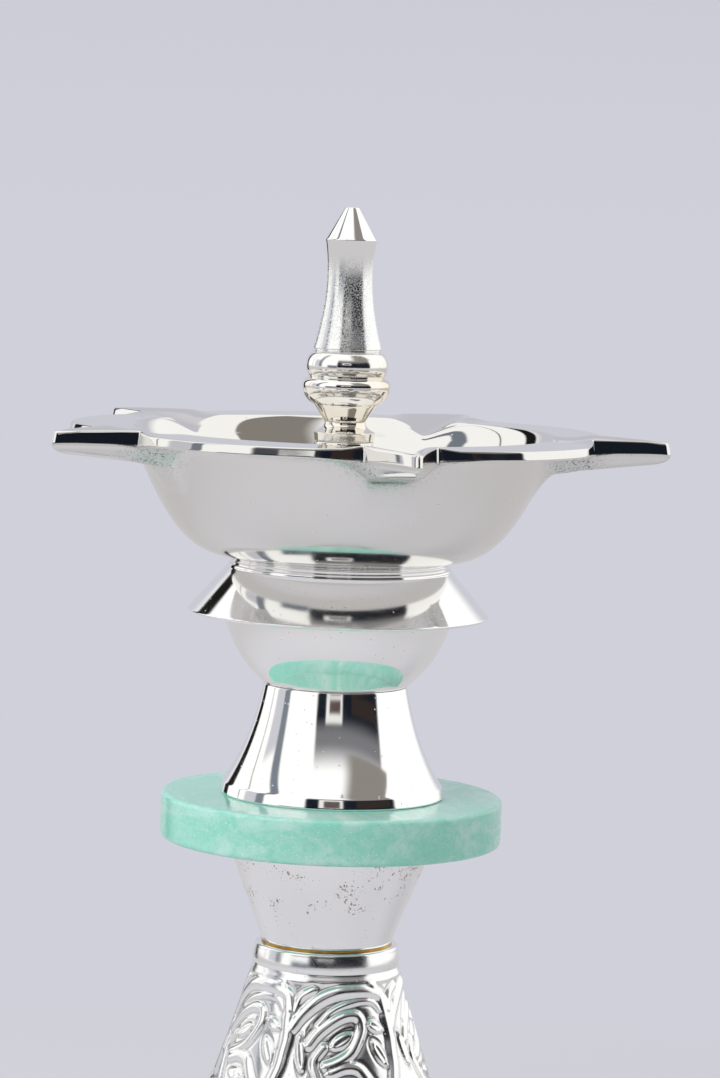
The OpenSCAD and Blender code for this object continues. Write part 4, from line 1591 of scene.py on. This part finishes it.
@dataclass
class Studio:
    """Pale floor, plain backdrop and the panels that the silver mirrors.

    Azimuths are measured from the camera's side, to the right as seen by the camera. The camera sees
    the plain backdrop, and every other ray sees the panels.
    """

    camera_azimuth: float
    backdrop: str = "#D0D0DA"
    backdrop_side: str = "#CBCBD5"
    white: str = "#FFFFFE"
    white_level: float = 1.1
    floor_colour: str = "#CDCBCC"
    floor_matt: str = "#D0CFD4"
    floor_r: float = 500.0
    key_size: float = 0.7
    key_energy: float = 5.0
    key_place: tuple[float, float, float] = (-0.65, -0.45, 0.85)
    key_aim: tuple[float, float, float] = (0.0, 0.0, 0.15)
    cards: tuple[Card, ...] = (
        Card(150.0, 200.0, -10.0, 52.0, "#CDCDD7", 8.0, 8.0),
        Card(-200.0, -150.0, -10.0, 52.0, "#CDCDD7", 8.0, 8.0),
        Card(-27.0, 69.0, -2.0, 37.0, "#7C7C80", 2.0, 8.0),
        Card(21.0, 76.0, 34.0, 72.0, "#8E8983", 1.0, 3.0, 10.0),
        Card(-27.0, 68.0, -3.0, 23.0, "#181D27", 2.0, 4.0),
        Card(-56.0, -27.0, -6.0, 7.0, "#6A7380", 4.0, 3.0),
        Card(-102.0, -86.0, -2.0, 24.0, "#CFCFD8", 2.0, 3.0),
        Card(26.0, 64.0, 12.0, 18.5, "#342C29", 1.0, 1.0),
        Card(-13.0, 12.0, 12.0, 22.5, "#F2F2F0", 1.0, 1.0),
        Card(-8.0, 9.0, 14.0, 19.0, "#5A4A46", 1.0, 1.0),
        Card(-86.0, -75.0, -2.0, 58.0, "#7C838D", 1.5),
        Card(-113.0, -111.5, -2.0, 50.0, "#86847F", 0.6),
        Card(-148.0, -136.0, -12.0, 46.0, "#1C1B1A", 1.5, 4.0),
    )

    def build_world(self) -> None:
        """Builds the world: a backdrop for the camera, panels over a white room for all else."""
        world = bpy.data.worlds.new("studio")
        bpy.context.scene.world = world
        world.use_nodes = True
        tree = world.node_tree
        tree.nodes.clear()
        way = add(tree, "ShaderNodeTexCoord").outputs["Generated"]
        facing = (0.0, 0.0, -math.radians(self.camera_azimuth))
        way = add(tree, "ShaderNodeMapping", {"Vector": way, "Rotation": facing})
        split = add(tree, "ShaderNodeSeparateXYZ", {0: way})
        ahead = add(tree, "ShaderNodeMath", {0: split.outputs[1], 1: -1.0}, operation="MULTIPLY")
        azimuth = add(tree, "ShaderNodeMath", {0: split.outputs[0], 1: ahead}, operation="ARCTAN2")
        height = add(tree, "ShaderNodeMath", {0: split.outputs[2]}, operation="ARCSINE")
        azimuth, height = (add(tree, "ShaderNodeMath", {0: angle, 1: 180.0 / math.pi}, operation="MULTIPLY")
                           for angle in (azimuth, height))
        room = add(tree, "ShaderNodeMapRange", {0: height, 1: -5.0, 2: -1.0}, interpolation_type="SMOOTHSTEP")
        white = tuple(self.white_level * part for part in srgb(self.white)[:3]) + (1.0,)
        shown = add(tree, "ShaderNodeMix", {0: room, 6: srgb(self.floor_colour), 7: white},
                    data_type="RGBA").outputs[2]
        for card in self.cards:
            sides = ((azimuth, card.left, card.soft_left or card.soft), (azimuth, card.right, -card.soft),
                     (height, card.low, card.soft), (height, card.high, -card.soft_top))
            mask = None
            for angle, limit, soft in sides:
                edge = add(tree, "ShaderNodeMapRange", {0: angle, 1: limit - soft, 2: limit + soft},
                           interpolation_type="SMOOTHSTEP")
                mask = edge if mask is None else add(tree, "ShaderNodeMath", {0: mask, 1: edge},
                                                     operation="MULTIPLY")
            shown = add(tree, "ShaderNodeMix", {0: mask, 6: shown, 7: srgb(card.colour)},
                        data_type="RGBA").outputs[2]
        side = add(tree, "ShaderNodeMapRange", {0: height, 1: -2.0, 2: 4.0}, interpolation_type="SMOOTHSTEP")
        plain = add(tree, "ShaderNodeMix", {0: side, 6: srgb(self.backdrop), 7: srgb(self.backdrop_side)},
                    data_type="RGBA")
        path = add(tree, "ShaderNodeLightPath")
        seen = add(tree, "ShaderNodeMix", {0: path.outputs["Is Camera Ray"], 6: shown, 7: plain.outputs[2]},
                   data_type="RGBA")
        light = add(tree, "ShaderNodeBackground", {"Color": seen.outputs[2], "Strength": 1.0})
        add(tree, "ShaderNodeOutputWorld", {"Surface": light})

    def build_floor(self) -> None:
        """Builds a round floor that takes the lamp's shadow and fades into the backdrop."""
        rings = np.linspace(LEAST_R, self.floor_r, 12)
        sheet = revolve(np.column_stack([rings, np.zeros_like(rings)]), full_turn(96))
        mesh = bpy.data.meshes.new("floor")
        index = np.arange(sheet.shape[0] * sheet.shape[1]).reshape(sheet.shape[:2])
        low, high = index[:-1], index[1:]
        quads = np.stack([low, high, np.roll(high, -1, 1), np.roll(low, -1, 1)], axis=-1).reshape(-1, 4)
        mesh.from_pydata((sheet.reshape(-1, 3) * MM).tolist(), [], quads.tolist())
        floor = bpy.data.objects.new("floor", mesh)
        bpy.context.scene.collection.objects.link(floor)
        material, tree, where = start_material("floor_pale")
        far = add(tree, "ShaderNodeVectorMath", {0: where}, operation="LENGTH")
        fade = add(tree, "ShaderNodeMapRange", {0: far.outputs["Value"], 1: 0.12, 2: 0.9 * self.floor_r * MM},
                   interpolation_type="SMOOTHSTEP")
        matt = add(tree, "ShaderNodeBsdfDiffuse", {"Color": srgb(self.floor_matt)})
        path = add(tree, "ShaderNodeLightPath")
        plain = add(tree, "ShaderNodeMix", {0: path.outputs["Is Camera Ray"], 6: srgb(self.floor_colour),
                                            7: srgb(self.backdrop)}, data_type="RGBA")
        plain = add(tree, "ShaderNodeEmission", {"Color": plain.outputs[2]})
        mixed = add(tree, "ShaderNodeMixShader", {0: fade, 1: matt, 2: plain})
        add(tree, "ShaderNodeOutputMaterial", {"Surface": mixed})
        mesh.materials.append(material)

    def build_key(self) -> None:
        """Builds one large soft lamp high on the left that the silver doesn't mirror."""
        lamp = bpy.data.lights.new("key", "AREA")
        lamp.shape = "DISK"
        lamp.size = self.key_size
        lamp.energy = self.key_energy
        key = bpy.data.objects.new("key", lamp)
        bpy.context.scene.collection.objects.link(key)
        key.location = self.key_place
        aim = Vector(self.key_aim) - key.location
        key.rotation_euler = aim.to_track_quat("-Z", "Y").to_euler()
        key.visible_glossy = False

    def build(self) -> None:
        """Builds the whole stage."""
        self.build_world()
        self.build_floor()
        self.build_key()


@dataclass
class ViewCamera:
    """The camera at the photograph's place: its lens as a focal length in pixels of the photograph."""

    azimuth: float = -12.5
    focal_px: float = 4200.0
    distance: float = 0.932
    height: float = 0.273
    aim_height: float = 0.1845
    aim_right: float = 0.0043
    roll: float = 2.05

    def build(self) -> None:
        """Places the camera, turned about its own line of sight by the roll."""
        data = bpy.data.cameras.new("camera")
        data.sensor_fit = "VERTICAL"
        data.sensor_height = 36.0
        data.lens = self.focal_px * data.sensor_height / IMAGE_H
        data.clip_start = 0.05
        camera = bpy.data.objects.new("camera", data)
        bpy.context.scene.collection.objects.link(camera)
        turn = math.radians(self.azimuth)
        place = Vector((math.sin(turn) * self.distance, -math.cos(turn) * self.distance, self.height))
        side = Vector((math.cos(turn), math.sin(turn), 0.0))
        aim = Vector((0.0, 0.0, self.aim_height)) + self.aim_right * side
        sight = (aim - place).normalized()
        right = sight.cross(Vector((0.0, 0.0, 1.0))).normalized()
        up = right.cross(sight)
        lean = math.radians(self.roll)
        rolled_right = math.cos(lean) * right + math.sin(lean) * up
        rolled_up = math.cos(lean) * up - math.sin(lean) * right
        axes = Matrix((rolled_right, rolled_up, -sight)).transposed()
        camera.matrix_world = Matrix.Translation(place) @ axes.to_4x4()
        bpy.context.scene.camera = camera


def main() -> None:
    """Builds the stage and every piece of the lamp in order."""
    logging.basicConfig(level=logging.INFO, format="%(name)s %(message)s")
    bpy.context.scene.view_settings.view_transform = "Standard"
    camera = ViewCamera()
    camera.build()
    Studio(camera.azimuth).build()
    finishes = Finishes()
    silver = (Slot.POLISHED, finishes.polished)
    turned = (
        FootRing("foot_ring", Body.STEM, *silver),
        SeatWasher("seat_washer", Body.STEM, Slot.BRASS, finishes.brass),
        ConeCup("cone_cup", Body.STEM, Slot.POLISHED, finishes.cone),
        StoneDisc("stone_disc", Body.STEM, Slot.STONE, finishes.stone),
        BellCollar("bell_collar", Body.STEM, *silver),
        KnopCup("knop_cup", Body.STEM, *silver),
        SkirtCollar("skirt_collar", Body.BOWL, *silver),
        Finial("finial", Body.FINIAL, Slot.POLISHED, finishes.finial),
    )
    for piece in turned:
        piece.build()
    Pedestal(finishes.embossed).build()
    Bowl(finishes.cast).build()
    Fasteners(finishes.steel).build()


if __name__ == "__main__":
    main()
